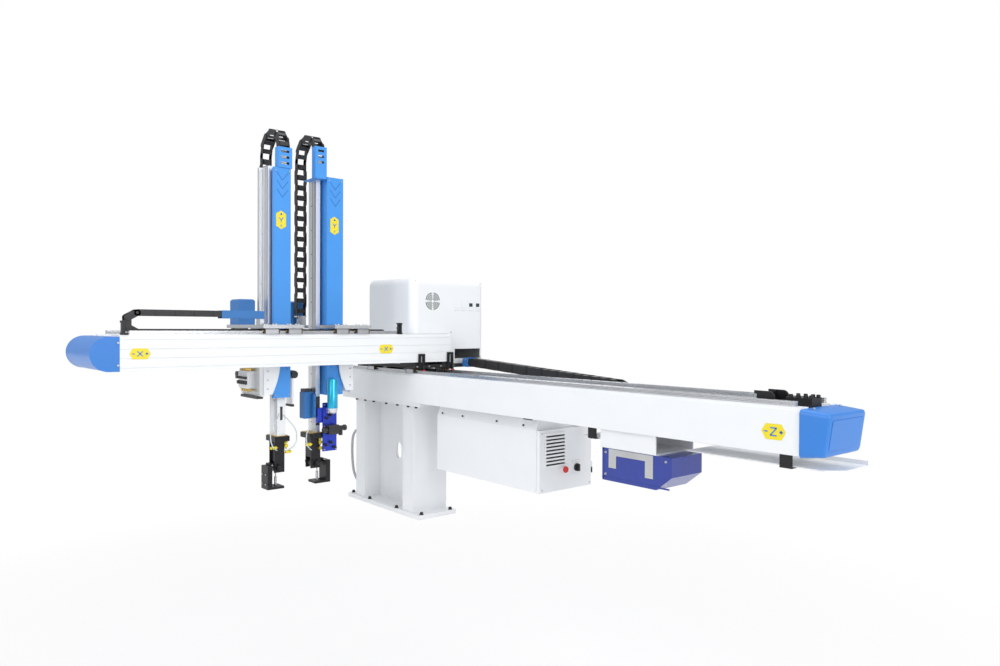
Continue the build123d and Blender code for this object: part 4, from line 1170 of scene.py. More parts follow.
@dataclass
class CrosswisePair:
    """The two crosswise beams with rails, buffers, rear beam and the wide half round end cover.

    Attributes:
        front: Front face of the front beam in millimetres.
        back: Rear face of the rear beam.
        rear_face: Front face of the rear beam.
        left: Free end of the beams.
        low: Underside.
        top: Upper side.
        reach: How far the end cover stands out.
    """

    front: float = 383.0
    back: float = -80.0
    rear_face: float = 26.0
    left: float = -1659.0
    low: float = 881.0
    top: float = 1031.0
    reach: float = 116.0
    rail_z: float = 1038.0
    rails: tuple[float, ...] = (361.0, -27.0)

    def build(self) -> None:
        """Makes all pieces of the crosswise pair."""
        self._cover()
        self._rear_beam()
        self._rails()
        self._stops()
        self._trim()

    def _cover(self) -> None:
        """The sheet cover with its flat cheek, fold line and screws."""
        radius = (self.top - self.low) / 2
        middle = (self.top + self.low) / 2
        centre = self.left - self.reach + radius

        def outline(x: float, grow: float) -> list[Vector]:
            """Closed side outline at x."""
            points = [point(x, self.left, middle - radius - grow)]
            for i in range(33):
                angle = -math.pi / 2 + math.pi * i / 32
                wide = radius + grow
                points.append(point(x, centre - wide * math.cos(angle), middle + wide * math.sin(angle)))
            return points + [point(x, self.left, middle + radius + grow)]

        forge = Forge()
        forge.prism(outline(self.back, -1.0), X * (self.front - self.back) * MM)
        forge.prism(outline(self.front - 3, 0.0), X * 3.4 * MM, 0.6 * MM)
        forge.prism(outline(self.back - 0.8, 0.0), X * 3.4 * MM, 0.6 * MM)
        cover = forge.piece("crosswise_end_cover", "traverse_carriage", COVER_BLUE)
        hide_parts("cross_end_cover")
        screws = Forge()
        for z in (middle - 48, middle + 48):
            screws.screw(point(self.front + 0.4, self.left - 7, z), X, 6)
        screws.piece("end_cover_screws", "traverse_carriage", ZINC)

    def _rear_beam(self) -> None:
        """The rear beam with its rail seat and the plate that joins both beams."""
        forge = Forge()
        box_front = -143.0
        forge.block(
            point(self.back, self.left, self.low),
            point(self.rear_face, box_front, self.top),
            1.5 * MM,
        )
        forge.block(point(-40, self.left, self.top), point(-14, box_front, self.rail_z), 0.5 * MM)
        forge.block(point(self.rear_face, self.left, self.low), point(233, self.left + 8, self.top), 0.5 * MM)
        made = forge.piece("crosswise_rear_beam", "traverse_carriage", WHITE)

    def _rails(self) -> None:
        """A profile rail on each beam, with its row of screw caps."""
        forge = Forge()
        caps = Forge()
        for x in self.rails:
            profile_rail(forge, point(x, -1618, self.rail_z), Y, Z, 1356)
            for i in range(22):
                caps.round(point(x, -1588 + i * 61.5, self.rail_z + 18), Z, 4.6 * MM, 0.25 * MM, 16)
        rails = forge.piece("crosswise_rails", "traverse_carriage", CROSS_RAIL)
        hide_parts("cross_rails")
        caps.piece("crosswise_rail_caps", "traverse_carriage", BLACK_PLASTIC)

    def _stops(self) -> None:
        """Hooked buffers with rubber noses at the ends of the front rail."""
        forge = Forge()
        noses = Forge()
        x = self.rails[0]
        for y, inward in ((-1650.0, 1), (-230.0, -1)):
            foot = [
                (0, 0),
                (26, 0),
                (26, 9),
                (15, 9),
                (15, 54),
                (19, 57),
                (19, 62),
                (0, 62),
                (0, 54),
                (3, 52),
                (3, 9),
                (0, 9),
            ]
            points = [point(x - 16, y + inward * u, self.rail_z + v) for u, v in foot]
            forge.prism(points, X * 32 * MM, 0.5 * MM)
            noses.round(point(x, y + inward * 15, self.rail_z + 34), Y * inward, 9 * MM, 9 * MM, 20, 2 * MM)
        stops = forge.piece("crosswise_stops", "traverse_carriage", ANODISED_BLACK)
        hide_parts("cross_end_stops")
        noses.piece("crosswise_stop_noses", "traverse_carriage", RUBBER)

    def _trim(self) -> None:
        """The end plate's screws and a row of screws under the front beam."""
        forge = Forge()
        for x in (258, 308, 358):
            for z in (self.low + 22, self.top - 22):
                forge.screw(point(x, self.left - 0.2, z), -Y, 8)
        screw_row(
            forge,
            point(self.front - 12, -120, self.low - 0.5),
            point(self.front - 12, 60, self.low - 0.5),
            4,
            -Z,
            8,
        )
        forge.piece("crosswise_screws", "traverse_carriage", BLACK)


@dataclass
class BeamEndCover:
    """The moulded cover at the traverse beam's right end, tapered to a leaning face with a border.

    Attributes:
        start: End of the beam in millimetres.
        reach_top: How far the face stands out at its upper edge.
        reach_foot: How far it stands out at its lower edge.
        y: Sides at the beam.
        z: Underside and upper side at the beam.
        taper: How much each side draws in towards the face.
        corner: Corner radius.
    """

    start: float = 2635.0
    reach_top: float = 101.0
    reach_foot: float = 78.0
    y: tuple[float, float] = (-165.0, 113.0)
    z: tuple[float, float] = (651.0, 813.0)
    taper: float = 10.0
    corner: float = 16.0

    def build(self) -> None:
        """Makes the cover and its raised panel."""
        forge = Forge()
        forge.skin(
            [self._loop(t, inset) for t, inset in ((0, 0), (0.93, 0), (0.965, 1.2), (0.988, 3.6), (1.0, 8.0))]
        )
        panel = ((0.99, 21.0), (1.018, 21.0), (1.026, 22.2), (1.026, 25.0))
        forge.skin([self._loop(t, inset) for t, inset in panel])
        cover = forge.piece("beam_right_cover", "base", COVER_BLUE)
        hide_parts("beam_end_cover")

    def _loop(self, share: float, inset: float) -> list[Vector]:
        """A rounded outline at a share of the reach.

        Args:
            share: 0 at the beam, 1 at the face.
            inset: How far it lies inside the tapered form.

        Returns:
            Its points in metres.
        """
        shrink = self.taper * share + inset
        y0, y1 = self.y[0] + shrink, self.y[1] - shrink
        z0, z1 = self.z[0] + shrink, self.z[1] - shrink
        radius = max(4.0, self.corner - inset * 0.4)
        points = []
        for cy, cz, turn in (
            (y1 - radius, z1 - radius, 0),
            (y0 + radius, z1 - radius, 1),
            (y0 + radius, z0 + radius, 2),
            (y1 - radius, z0 + radius, 3),
        ):
            for k in range(7):
                angle = math.pi / 2 * (turn + k / 6)
                y = cy + radius * math.cos(angle)
                z = cz + radius * math.sin(angle)
                height = (z - self.z[0]) / (self.z[1] - self.z[0])
                reach = self.reach_foot + (self.reach_top - self.reach_foot) * height
                points.append(point(self.start + reach * share, y, z))
        return points


@dataclass
class AxisPlate:
    """A yellow hexagonal plate with a minus, an axis letter and a plus.

    Attributes:
        name: Name of the piece.
        body: Body it is fixed to.
        place: Its middle in millimetres.
        along: Direction from minus to plus.
        facing: Direction it faces.
        letter: Strokes of the axis letter in a square of side 2.
        length: Length between its points.
        width: Width across its flats.
    """

    name: str
    body: str
    place: tuple[float, float, float]
    along: Vector
    facing: Vector
    letter: str
    length: float = 130.0
    width: float = 70.0

    STROKES = {
        "X": (((-1, -1), (1, 1)), ((-1, 1), (1, -1))),
        "Y": (((0, -1), (0, 0)), ((0, 0), (-0.9, 1)), ((0, 0), (0.9, 1))),
        "Z": (((-0.9, 1), (0.9, 1)), ((0.9, 1), (-0.9, -1)), ((-0.9, -1), (0.9, -1))),
    }

    def build(self) -> None:
        """Makes the plate and its raised marks."""
        up = self.facing.cross(self.along).normalized()
        middle = point(*self.place)
        half = self.length / 2
        flat = self.width / 2

        def at(u: float, v: float, rise: float) -> Vector:
            """A point on the plate."""
            return middle + (self.along * u + up * v + self.facing * rise) * MM

        outline = [(-half, 0), (-half + flat * 0.6, flat), (half - flat * 0.6, flat)]
        outline += [(half, 0), (half - flat * 0.6, -flat), (-half + flat * 0.6, -flat)]
        forge = Forge()
        forge.prism([at(u, v, 0.05) for u, v in outline], self.facing * 0.9 * MM, 0.3 * MM)
        forge.piece(f"{self.name}_plate", self.body, YELLOW)
        marks = Forge()
        size = self.width * 0.24
        turn = abs(self.along.z) > 0.5
        strokes = [
            ((a[0] * size, a[1] * size), (b[0] * size, b[1] * size)) for a, b in self.STROKES[self.letter]
        ]
        if turn:
            strokes = [((a[1], -a[0]), (b[1], -b[0])) for a, b in strokes]
        reach = half * 0.62
        arm = size * 0.5
        strokes += [((-reach - arm, 0), (-reach + arm, 0)), ((reach - arm, 0), (reach + arm, 0))]
        strokes += [((reach, -arm), (reach, arm))]
        for (u0, v0), (u1, v1) in strokes:
            way = Vector((u1 - u0, v1 - v0)).normalized() * self.width * 0.045
            side = Vector((-way.y, way.x))
            corners = [
                (u0 - side.x, v0 - side.y),
                (u0 + side.x, v0 + side.y),
                (u1 + side.x, v1 + side.y),
                (u1 - side.x, v1 - side.y),
            ]
            marks.prism([at(u, v, 0.9) for u, v in corners], self.facing * 0.35 * MM)
        marks.piece(f"{self.name}_marks", self.body, PIN_GREY)


def axis_plates() -> None:
    """Makes the five axis plates."""
    for plate in (
        AxisPlate("crosswise_left", "traverse_carriage", (383, -1578, 956), Y, X, "X", 88, 47),
        AxisPlate("crosswise_right", "traverse_carriage", (383, -338, 959), Y, X, "X", 92, 47),
        AxisPlate("first_arm", "sub_stage2", (190, -849, 1625), Z, X, "Y", 96, 54),
        AxisPlate("second_arm", "main_stage1", (190, -545, 1622), Z, X, "Y", 98, 50),
        AxisPlate("traverse", "base", (2541, -159, 729), X, -Y, "Z", 90, 54),
    ):
        plate.build()


@dataclass
class Carriage:
    """Dressing of one arm's carriage: cheek, gusset, guide blocks and fittings on its plate.

    Attributes:
        arm: Name prefix of the arm's nodes.
        cheek_y: Outer face of the cheek.
        side: +1 or -1, the direction from the cheek to the arm.
        blocks: Y of the guide blocks on the rails.
    """

    arm: str
    cheek_y: float
    side: int
    blocks: tuple[float, float]

    def build(self) -> None:
        """Makes the carriage's pieces."""
        self._cheek()
        self._blocks()
        self._screws()

    def _at(self, x: float, u: float, z: float) -> Vector:
        """A point whose second number counts from the cheek's outer face."""
        return point(x, self.cheek_y + self.side * u, z)

    def _slab(
        self,
        forge: Forge,
        x: tuple[float, float],
        u: tuple[float, float],
        z: tuple[float, float],
    ) -> None:
        """Adds a chamfered block between two values in each direction."""
        ends = sorted((self.cheek_y + self.side * u[0], self.cheek_y + self.side * u[1]))
        forge.block(point(x[0], ends[0], z[0]), point(x[1], ends[1], z[1]), 0.8 * MM)

    def _cheek(self) -> None:
        """The cheek between the beams, its wide foot, its folded flange and the curved gusset."""
        forge = Forge()
        foot = [
            (-106, 752),
            (-84, 720),
            (188, 720),
            (200, 732),
            (200, 1067),
            (34, 1067),
            (34, 873),
            (-98, 873),
            (-106, 865),
        ]
        points = [self._at(x, 0, z) for x, z in foot]
        forge.prism(points, Y * self.side * 10 * MM, 1.0 * MM)
        self._slab(forge, (34, 200), (0, 22), (1056, 1067.5))
        self._slab(forge, (-106, -96), (0, 70), (744, 866))
        curve = []
        for i in range(17):
            t = i / 16
            curve.append((46 + 40 * math.sin(t * math.pi / 2), 730 + (881 - 730) * t))
        outline = [(0, 730)] + curve + [(86, 1067), (0, 1067)]
        forge.prism([self._at(196, u, z) for u, z in outline], X * 10 * MM, 0.8 * MM)
        cheek = forge.piece(f"{self.arm}_cheek", f"{self.arm}_carriage", WHITE)
        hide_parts(f"{self.arm}_cheek_bracket")

    def _blocks(self) -> None:
        """Guide blocks on both rails and on the first stage's rail, with seals and nipples."""
        steel, seals, felt, brass = Forge(), Forge(), Forge(), Forge()
        for x in (361.0, -27.0):
            for y in self.blocks:
                guide_block(steel, seals, felt, point(x, y, 1038), Y, Z)
                brass.round(point(x + 12, y + 38.6, 1056), Y, 3.4 * MM, 7 * MM, 6, 0.6 * MM)
                brass.round(point(x + 12, y - 38.6, 1056), -Y, 3.4 * MM, 7 * MM, 6, 0.6 * MM)
        for z in (780.0, 998.0):
            guide_block(steel, seals, felt, self._at(64, 43, z), Z, -Y * self.side)
        made = steel.piece(f"{self.arm}_rail_blocks", f"{self.arm}_carriage", BLOCK_STEEL)
        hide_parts(f"{self.arm}_guide_blocks")
        seals.piece(f"{self.arm}_block_seals", f"{self.arm}_carriage", BLACK_PLASTIC)
        felt.piece(f"{self.arm}_block_wipers", f"{self.arm}_carriage", FIBRE)
        brass.piece(f"{self.arm}_block_nipples", f"{self.arm}_carriage", BRASS)

    def _screws(self) -> None:
        """Socket screws of the plate and of the gusset."""
        forge = Forge()
        for x in (345, 377):
            for y in self.blocks:
                for dy in (-22, 22):
                    forge.screw(point(x, y + dy, 1086), Z, 6)
        screw_row(forge, self._at(206, 20, 760), self._at(206, 20, 850), 3, X, 5)
        forge.piece(f"{self.arm}_carriage_screws", f"{self.arm}_carriage", ZINC)


@dataclass
class ArmCover:
    """Dressing of an arm's folded blue cover: pressed chevrons and screws.

    Attributes:
        arm: Name prefix.
        body: Body that carries the cover.
        y: Middle of the cover.
        low: Underside.
        top: Upper end.
        half: Half of the cover's width.
        face: Front face.
        chevrons: How many chevrons lie one above the other.
        pitch: Step between them.
        drop: How far the lowest of them lies under the upper end.
        lower_tip: Tip of the inverted chevron near the foot.
    """

    arm: str
    body: str
    y: float
    low: float
    top: float
    half: float = 46.0
    face: float = 190.0
    chevrons: int = 3
    pitch: float = 44.0
    drop: float = 152.0
    lower_tip: float = 892.0

    def build(self) -> None:
        """Makes the chevrons and the screws."""
        marks = Forge()
        for i in range(self.chevrons):
            self._chevron(marks, self.top - self.drop + i * self.pitch, 40.0)
        self._chevron(marks, self.lower_tip, -38.0)
        marks.piece(f"{self.arm}_cover_chevrons", self.body, DEEP_BLUE)
        screws = Forge()
        for z in (self.low + 16, self.top - 16):
            for y in (self.y - self.half + 10, self.y + self.half - 10):
                screws.screw(point(self.face, y, z), X, 4)
        screws.piece(f"{self.arm}_cover_screws", self.body, ZINC)

    def _chevron(self, forge: Forge, tip: float, rise: float) -> None:
        """Adds one V, or an inverted one for a negative rise."""
        for side in (-1, 1):
            way = Vector((0, side * 30, rise)).normalized()
            across = Vector((0, -way.z, way.y)) * 1.6
            a = Vector((self.face, self.y, tip))
            b = Vector((self.face, self.y + side * 30, tip + rise))
            corners = [(a - across) * MM, (a + across) * MM, (b + across) * MM, (b - across) * MM]
            forge.prism(corners, X * 0.7 * MM)


@dataclass
class ProfileTrim:
    """Black strips of painted groove shade and screw caps on the bright stages of an arm, and the main arm's
    side covers.
    """

    def build(self) -> None:
        """Makes the trim of both arms."""
        for name, body, y, xs, low, high in (
            ("sub_first", "sub_stage1", -901.0, (84.0, 112.0, 136.0), 740.0, 1898.0),
            ("sub_second", "sub_stage2", -849.0, (122.0, 138.0), 520.0, 1880.0),
            ("main_second", "main_stage2", -628.0, (100.0, 118.0, 132.0), 520.0, 1860.0),
        ):
            groove_shade_and_caps = Forge()
            # Nothing is cut into the profile: each black strip is painted shade of a groove.
            for x in xs:
                groove_shade_and_caps.block(point(x - 1.6, y - 0.4, low), point(x + 1.6, y + 0.2, high), 0.05 * MM)
            for z in range(int(low) + 40, int(high), 130):
                groove_shade_and_caps.round(point(xs[0] - 12, y, z), -Y, 3.2 * MM, 0.6 * MM, 14)
            groove_shade_and_caps.piece(f"{name}_grooves", body, BLACK)
        covers = Forge()
        covers.block(point(64, -684, 582), point(118, -632, 726), 4 * MM)
        covers.block(point(124, -646, 590), point(152, -632, 716), 2 * MM)
        covers.block(point(70, -632, 640), point(120, -628, 700), 0.5 * MM)
        covers.piece("main_side_covers", "main_stage2", DEEP_BLUE)
        blocks = Forge()
        blocks.block(point(66, -680, 726), point(116, -636, 742), 2 * MM)
        blocks.block(point(140, -627, 545), point(146, -606, 700), 1 * MM)
        for z in (560, 600, 640, 680):
            blocks.round(point(152, -639, z), X, 2.5 * MM, 2 * MM, 14, 0.5 * MM)
        blocks.piece("main_side_connectors", "main_stage2", BLACK_PLASTIC)
        ends = Forge()
        for x in (66, 84, 102, 120, 138):
            ends.round(point(x, -888, 1903), Z, 4 * MM, 10 * MM, 12, 1 * MM)
        ends.piece("sub_first_end_plugs", "sub_stage1", BLACK_PLASTIC)
        tips = Forge()
        for y in (-576, -560, -544, -528, -512):
            tips.screw(point(168, y, 1880), Z, 5)
        tips.piece("cover_top_screws", "main_stage1", ZINC)


@dataclass
class SubValves:
    """The valve plate on the first arm's cheek, with solenoids, silencers and elbows.

    Attributes:
        body: Body that carries the valves.
        face: Outer face of the cheek.
        valves: How many valves sit side by side.
        pitch: Step between the valves.
        reach: How far the valves' front stands off the cheek.
        block_foot: Underside of the manifold block.
        block_top: Upper side of the manifold block.
        silencers: How many silencers stand in a row.
        silencer_pitch: Step between the silencers.
    """

    body: str = "sub_carriage"
    face: float = -946.0
    valves: int = 5
    pitch: float = 25.0
    reach: float = 40.0
    block_foot: float = 756.0
    block_top: float = 846.0
    silencers: int = 6
    silencer_pitch: float = 22.0

    def build(self) -> None:
        """Makes the plate and what is on it."""
        plate = Forge()
        outline = [(-66, 744), (-52, 728), (150, 728), (150, 866), (-66, 866)]
        plate.prism([point(x, self.face, z) for x, z in outline], -Y * 4 * MM, 0.8 * MM)
        plate.piece("valve_plate", self.body, ZINC)
        panel = Forge()
        panel.block(point(84, -770, 668), point(150, -760, 806), 1.5 * MM)
        panel.piece("sub_side_panel", self.body, SILVER)
        drum = Forge()
        drum.round(point(150, -765, 826), X, 20 * MM, 26 * MM, 32, 3 * MM)
        drum.block(point(84, -778, 806), point(150, -752, 846), 3 * MM)
        drum.block(point(80, -772, 656), point(154, -758, 668), 1 * MM)
        drum.piece("sub_side_regulator", self.body, BLACK_PLASTIC)
        bodies = Forge()
        bodies.block(
            point(-34, self.face - 34, self.block_foot),
            point(96, self.face - 4, self.block_top),
            2 * MM,
        )
        for i in range(self.valves):
            x = -26 + i * self.pitch
            bodies.block(point(x, self.face - self.reach, 764), point(x + 18, self.face - 34, 838), 1 * MM)
        bodies.piece("valve_block", self.body, SILVER)
        brass = Forge()
        for i in range(self.silencers):
            x = -24 + i * self.silencer_pitch
            for z, way in ((self.block_top, Z), (self.block_foot, -Z)):
                seat = point(x, self.face - 20, z)
                brass.round(seat, way, 5.5 * MM, 5 * MM, 6, 0.6 * MM)
                profile = [(5, 4.6), (7, 5.0), (9, 4.2), (11, 5.0), (13, 4.2), (15, 4.8), (17, 2.5)]
                brass.lathe(seat, way, [(h * MM, r * MM) for h, r in profile], 16)
        brass.piece("valve_silencers", self.body, BRASS)
        black = Forge()
        for i in range(self.valves):
            black.round(
                point(-17 + i * self.pitch, self.face - self.reach, 812),
                -Y,
                6 * MM,
                12 * MM,
                20,
                1 * MM,
            )
            black.block(
                point(-23 + i * self.pitch, self.face - 50, 778),
                point(-11 + i * self.pitch, self.face - self.reach, 796),
                1 * MM,
            )
        black.block(point(-104, self.face - 26, 800), point(-70, self.face - 2, 838), 2 * MM)
        black.round(point(-104, self.face - 14, 822), -X, 7 * MM, 20 * MM, 20, 1 * MM)
        black.round(point(-104, self.face - 14, 808), -X, 5 * MM, 14 * MM, 6, 1 * MM)
        black.block(point(-60, self.face - 14, 706), point(150, self.face + 20, 720), 2 * MM)
        black.piece("valve_connectors", self.body, BLACK_PLASTIC)


@dataclass
class Wrist:
    """Dressing of one flip wrist: bronze ring, screws, flow valves, tube ends and tool screws.

    Attributes:
        arm: Name prefix.
        y: Middle of the wrist.
        side: Direction from the cheek to the arm.
    """

    arm: str
    y: float
    side: int

    def build(self) -> None:
        """Makes the wrist's pieces."""
        stage = f"{self.arm}_stage2"
        bronze = Forge()
        bronze.block(point(50, self.y - 36, 505), point(155, self.y + 36, 508.5), 1 * MM)
        bronze.piece(f"{self.arm}_wrist_ring", stage, BRASS)
        screws = Forge()
        for z in (360, 440, 466):
            for y in (self.y - 14, self.y + 14):
                screws.screw(point(136, y, z) if z < 400 else point(128, y, z), X, 5)
        screw_row(screws, point(160, self.y - 30, 492), point(160, self.y + 30, 492), 3, X, 6)
        screws.lathe(
            point(148, self.y - self.side * 9.5, 340),
            X,
            [(0, 0.013), (0.004, 0.013), (0.005, 0.009), (0.012, 0.009), (0.013, 0.004)],
            20,
        )
        screws.piece(f"{self.arm}_wrist_screws", stage, BLACK)
        valves = Forge()
        stems = Forge()
        for u, z, way in ((30, 452, Z), (34, 420, Y), (-32, 446, -Y)):
            seat = point(138, self.y + u, z)
            valves.block(seat - Vector((8, 8, 8)) * MM, seat + Vector((8, 8, 8)) * MM, 2 * MM)
            valves.lathe(
                seat + way * 8 * MM,
                way,
                [(0, 0.006), (0.006, 0.006), (0.007, 0.008), (0.014, 0.008), (0.016, 0.006)],
                18,
            )
            stems.round(seat - way * 16 * MM, way, 4.5 * MM, 9 * MM, 16, 0.5 * MM)
            stems.round(seat - X * 22 * MM, X, 5 * MM, 15 * MM, 6, 0.5 * MM)
        valves.piece(f"{self.arm}_flow_valves", stage, YELLOW)
        stems.piece(f"{self.arm}_flow_stems", stage, BRASS)
        tool = Forge()
        for x in (92, 148):
            tool.screw(point(x, self.y - self.side * 50, 356), Z, 5)
        outer = self.y - self.side * (9.5 + 70)
        for x in (100, 140):
            for z in (262, 312):
                tool.screw(point(x, outer, z), Y * -self.side, 6)
        tool.round(point(120, self.y - self.side * 20, 247), Z, 7 * MM, 46 * MM, 24, 1 * MM)
        tool.round(point(120, self.y - self.side * 20, 293), Z, 3.5 * MM, 18 * MM, 16, 0.5 * MM)
        tool.piece(f"{self.arm}_tool_pins", f"{self.arm}_gripper", ZINC)


@dataclass
class VacuumUnit:
    """The filter bowl, its clear dome, head, gauge valve and fittings on the second arm.

    Attributes:
        body: Body that carries the unit.
        plate_face: Rear face of the plate.
        seat: Front face of the plate, where the fittings sit.
        bowl: Where the bowl and the dome meet, on their axis.
        bowl_radius: Outer radius of both, in metres.
        valve_x: Middle of the valve's knobs along X.
        valve_z: Height of the valve's knobs.
    """

    body: str = "main_stage2"
    plate_face: float = 162.0
    seat: float = 170.0
    bowl: tuple[float, float, float] = (212.0, -566.0, 640.0)
    bowl_radius: float = 0.0275
    valve_x: float = 192.0
    valve_z: float = 528.0

    def build(self) -> None:
        """Makes the unit in place of the plain node."""
        plate = Forge()
        outline = [(-600, 405), (-518, 405), (-518, 640), (-540, 667), (-600, 667)]
        plate.prism([point(self.plate_face, y, z) for y, z in outline], X * 8 * MM, 0.8 * MM)
        plate.block(point(140, -628, 560), point(self.plate_face, -590, 640), 1 * MM)
        made = plate.piece("vacuum_plate", self.body, VIOLET)
        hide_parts("main_vacuum_unit")
        bowl = Forge()
        wall = self.bowl_radius
        profile = [(0, 0.022), (0, wall), (0.15, wall), (0.158, 0.024), (0.160, 0.016)]
        bowl.lathe(point(*self.bowl), Z, profile, 40)
        bowl.piece("filter_bowl", self.body, CYAN)
        dome = Forge()
        arc = [(0.0, self.bowl_radius)]
        for i in range(1, 9):
            angle = math.pi / 2 * i / 8
            arc.append((0.006 + 0.026 * math.sin(angle), max(0.002, 0.0265 * math.cos(angle))))
        dome.lathe(point(*self.bowl), -Z, arc, 40)
        dome.block(point(self.seat, -582, 612), point(190, -550, 640), 1 * MM)
        dome.piece("filter_dome", self.body, SILVER)
        valve = Forge()
        valve.block(point(self.seat, -586, 498), point(214, -524, 548), 3 * MM)
        valve.round(point(self.valve_x, -586, self.valve_z - 6), -Y, 17 * MM, 26 * MM, 28, 3 * MM)
        valve.round(point(self.valve_x, -524, self.valve_z), Y, 13 * MM, 34 * MM, 24, 2 * MM)
        valve.round(point(self.valve_x, -490, self.valve_z), Y, 16 * MM, 16 * MM, 10, 2 * MM)
        valve.round(point(self.valve_x, -506, self.valve_z), -Z, 11 * MM, 40 * MM, 20, 2 * MM)
        for y, z in ((-586, 440), (-556, 452), (-534, 424), (-560, 600), (-580, 585)):
            valve.round(point(self.seat, y, z), X, 8 * MM, 14 * MM, 20, 1 * MM)
            valve.round(point(184, y, z), X, 5 * MM, 12 * MM, 6, 0.5 * MM)
        valve.piece("vacuum_valve", self.body, BLACK_PLASTIC)
        screws = Forge()
        for y, z in ((-592, 414), (-526, 414), (-592, 656), (-526, 632), (-592, 540)):
            screws.screw(point(self.seat, y, z), X, 5)
        screws.piece("vacuum_screws", self.body, ZINC)


@dataclass
class BoxDressing:
    """Dressing of the electrical box: fan grille with its slots drawn as painted shade, instrument windows
    and screws.

    Attributes:
        side: The box's right side.
        fan_height: Middle of the fan grille.
        frame_left: Near edge of the first instrument frame.
        frame_pitch: Step between the frames.
        frame_foot: Underside of the frames.
        stud_height: Row of small studs under the frames.
    """

    side: float = 338.0
    fan_height: float = 1226.0
    frame_left: float = 153.0
    frame_pitch: float = 52.0
    frame_foot: float = 1190.0
    stud_height: float = 1176.0

    def build(self) -> None:
        """Makes the box's pieces."""
        body = "traverse_carriage"
        # The slots are not cut through: dark glossy arcs on the box side are painted shade of the grille's
        # openings.
        grille = Forge()
        centre = point(self.side, 0, self.fan_height)
        for ring in range(4):
            radius = (14 + ring * 11) * MM
            for quarter in range(4):
                points = []
                start = math.pi / 2 * quarter + 0.14
                span = math.pi / 2 - 0.28
                for side, steps in ((1, range(13)), (-1, range(12, -1, -1))):
                    for k in steps:
                        angle = start + span * k / 12
                        reach = radius + side * 2.8 * MM
                        points.append(centre + Vector((0, math.cos(angle) * reach, math.sin(angle) * reach)))
                grille.prism(points, X * 0.5 * MM)
        grille.piece("fan_slot_shade", body, SCREEN)
        plates = Forge()
        screens = Forge()
        for i in range(4):
            y = self.frame_left + i * self.frame_pitch
            outline = ((0, 0), (40, 0), (40, 36), (0, 36))
            frame = [point(self.side, y + u, self.frame_foot + v) for u, v in outline]
            plates.prism(frame, X * 1.4 * MM, 0.6 * MM)
            if i > 1:
                window = ((7, 10), (33, 10), (33, 31), (7, 31))
                glass = [point(self.side + 1.4, y + u, self.frame_foot + v) for u, v in window]
                screens.prism(glass, X * 1.0 * MM, 0.3 * MM)
            for u in (10, 30):
                screens.round(point(self.side, y + u, self.stud_height), X, 2.2 * MM, 1.2 * MM, 14, 0.4 * MM)
        meters = screens.piece("instrument_windows", body, SCREEN)
        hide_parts("box_gauges")
        plates.piece("instrument_frames", body, BOX_WHITE)
        screws = Forge()
        for y, z in ((-120, 1340), (350, 1340), (350, 900), (130, 1050), (130, 900)):
            screws.screw(point(self.side, y, z), X, 4)
        screws.piece("box_screws", body, ZINC)


@dataclass
class DeckDressing:
    """Dressing of the traverse deck: guide block trim, scraper seals, springs and bracket screws.

    Attributes:
        block_x: Middles of the guide blocks along the beam.
        block_y: The two rails.
        rail_base: Seat of the rails.
        scraper_x: The scrapers' middle along the beam.
        scraper_y: The scrapers' places over the rails.
        scraper_foot: Upper side of the scraper seals.
    """

    block_x: tuple[float, float] = (-90.0, 328.0)
    block_y: tuple[float, float] = (-127.0, 74.0)
    rail_base: float = 817.0
    scraper_x: float = 398.0
    scraper_y: tuple[float, float] = (-102.0, 100.0)
    scraper_foot: float = 838.0

    def build(self) -> None:
        """Makes the deck's pieces."""
        body = "traverse_carriage"
        seals, felt, steel, brass, red, dark = Forge(), Forge(), Forge(), Forge(), Forge(), Forge()
        for x in self.block_x:
            for y in self.block_y:
                guide_block(steel, seals, felt, point(x, y, self.rail_base), X, Z)
                brass.round(point(x + 38.6, y + 4, 836), X, 4 * MM, 9 * MM, 6, 0.6 * MM)
                brass.round(point(x + 38.6, y - 10, 836), X, 3 * MM, 14 * MM, 16, 0.6 * MM)
        made = steel.piece("traverse_rail_blocks", body, BLOCK_STEEL)
        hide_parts("traverse_guide_blocks")
        seals.piece("traverse_block_seals", body, BLACK_PLASTIC)
        felt.piece("traverse_block_wipers", body, FIBRE)
        brass.piece("traverse_block_nipples", body, BRASS)
        for y in self.scraper_y:
            red.lathe(
                point(self.scraper_x, y, self.scraper_foot),
                -Z,
                [(0, 0.009), (0.004, 0.011), (0.014, 0.011), (0.018, 0.009)],
                24,
            )
            dark.round(point(self.scraper_x, y, self.scraper_foot), Z, 6 * MM, 22 * MM, 20, 1 * MM)
            dark.screw(point(392, y, 905), X, 6, True)
            dark.screw(point(392, y, 872), X, 6, True)
        red.piece("scraper_seals", body, RED)
        dark.piece("scraper_springs", body, BLACK)
        screws = Forge()
        for y in (-140, -60, 20, 110, 200, 300, 370):
            screws.screw(point(388, y, 857), X, 6)
        for x in (398, 418):
            for y in (176.5, 249.5):
                screws.screw(point(x, y, 892), Z, 4)
        screws.piece("deck_screws", body, ZINC)


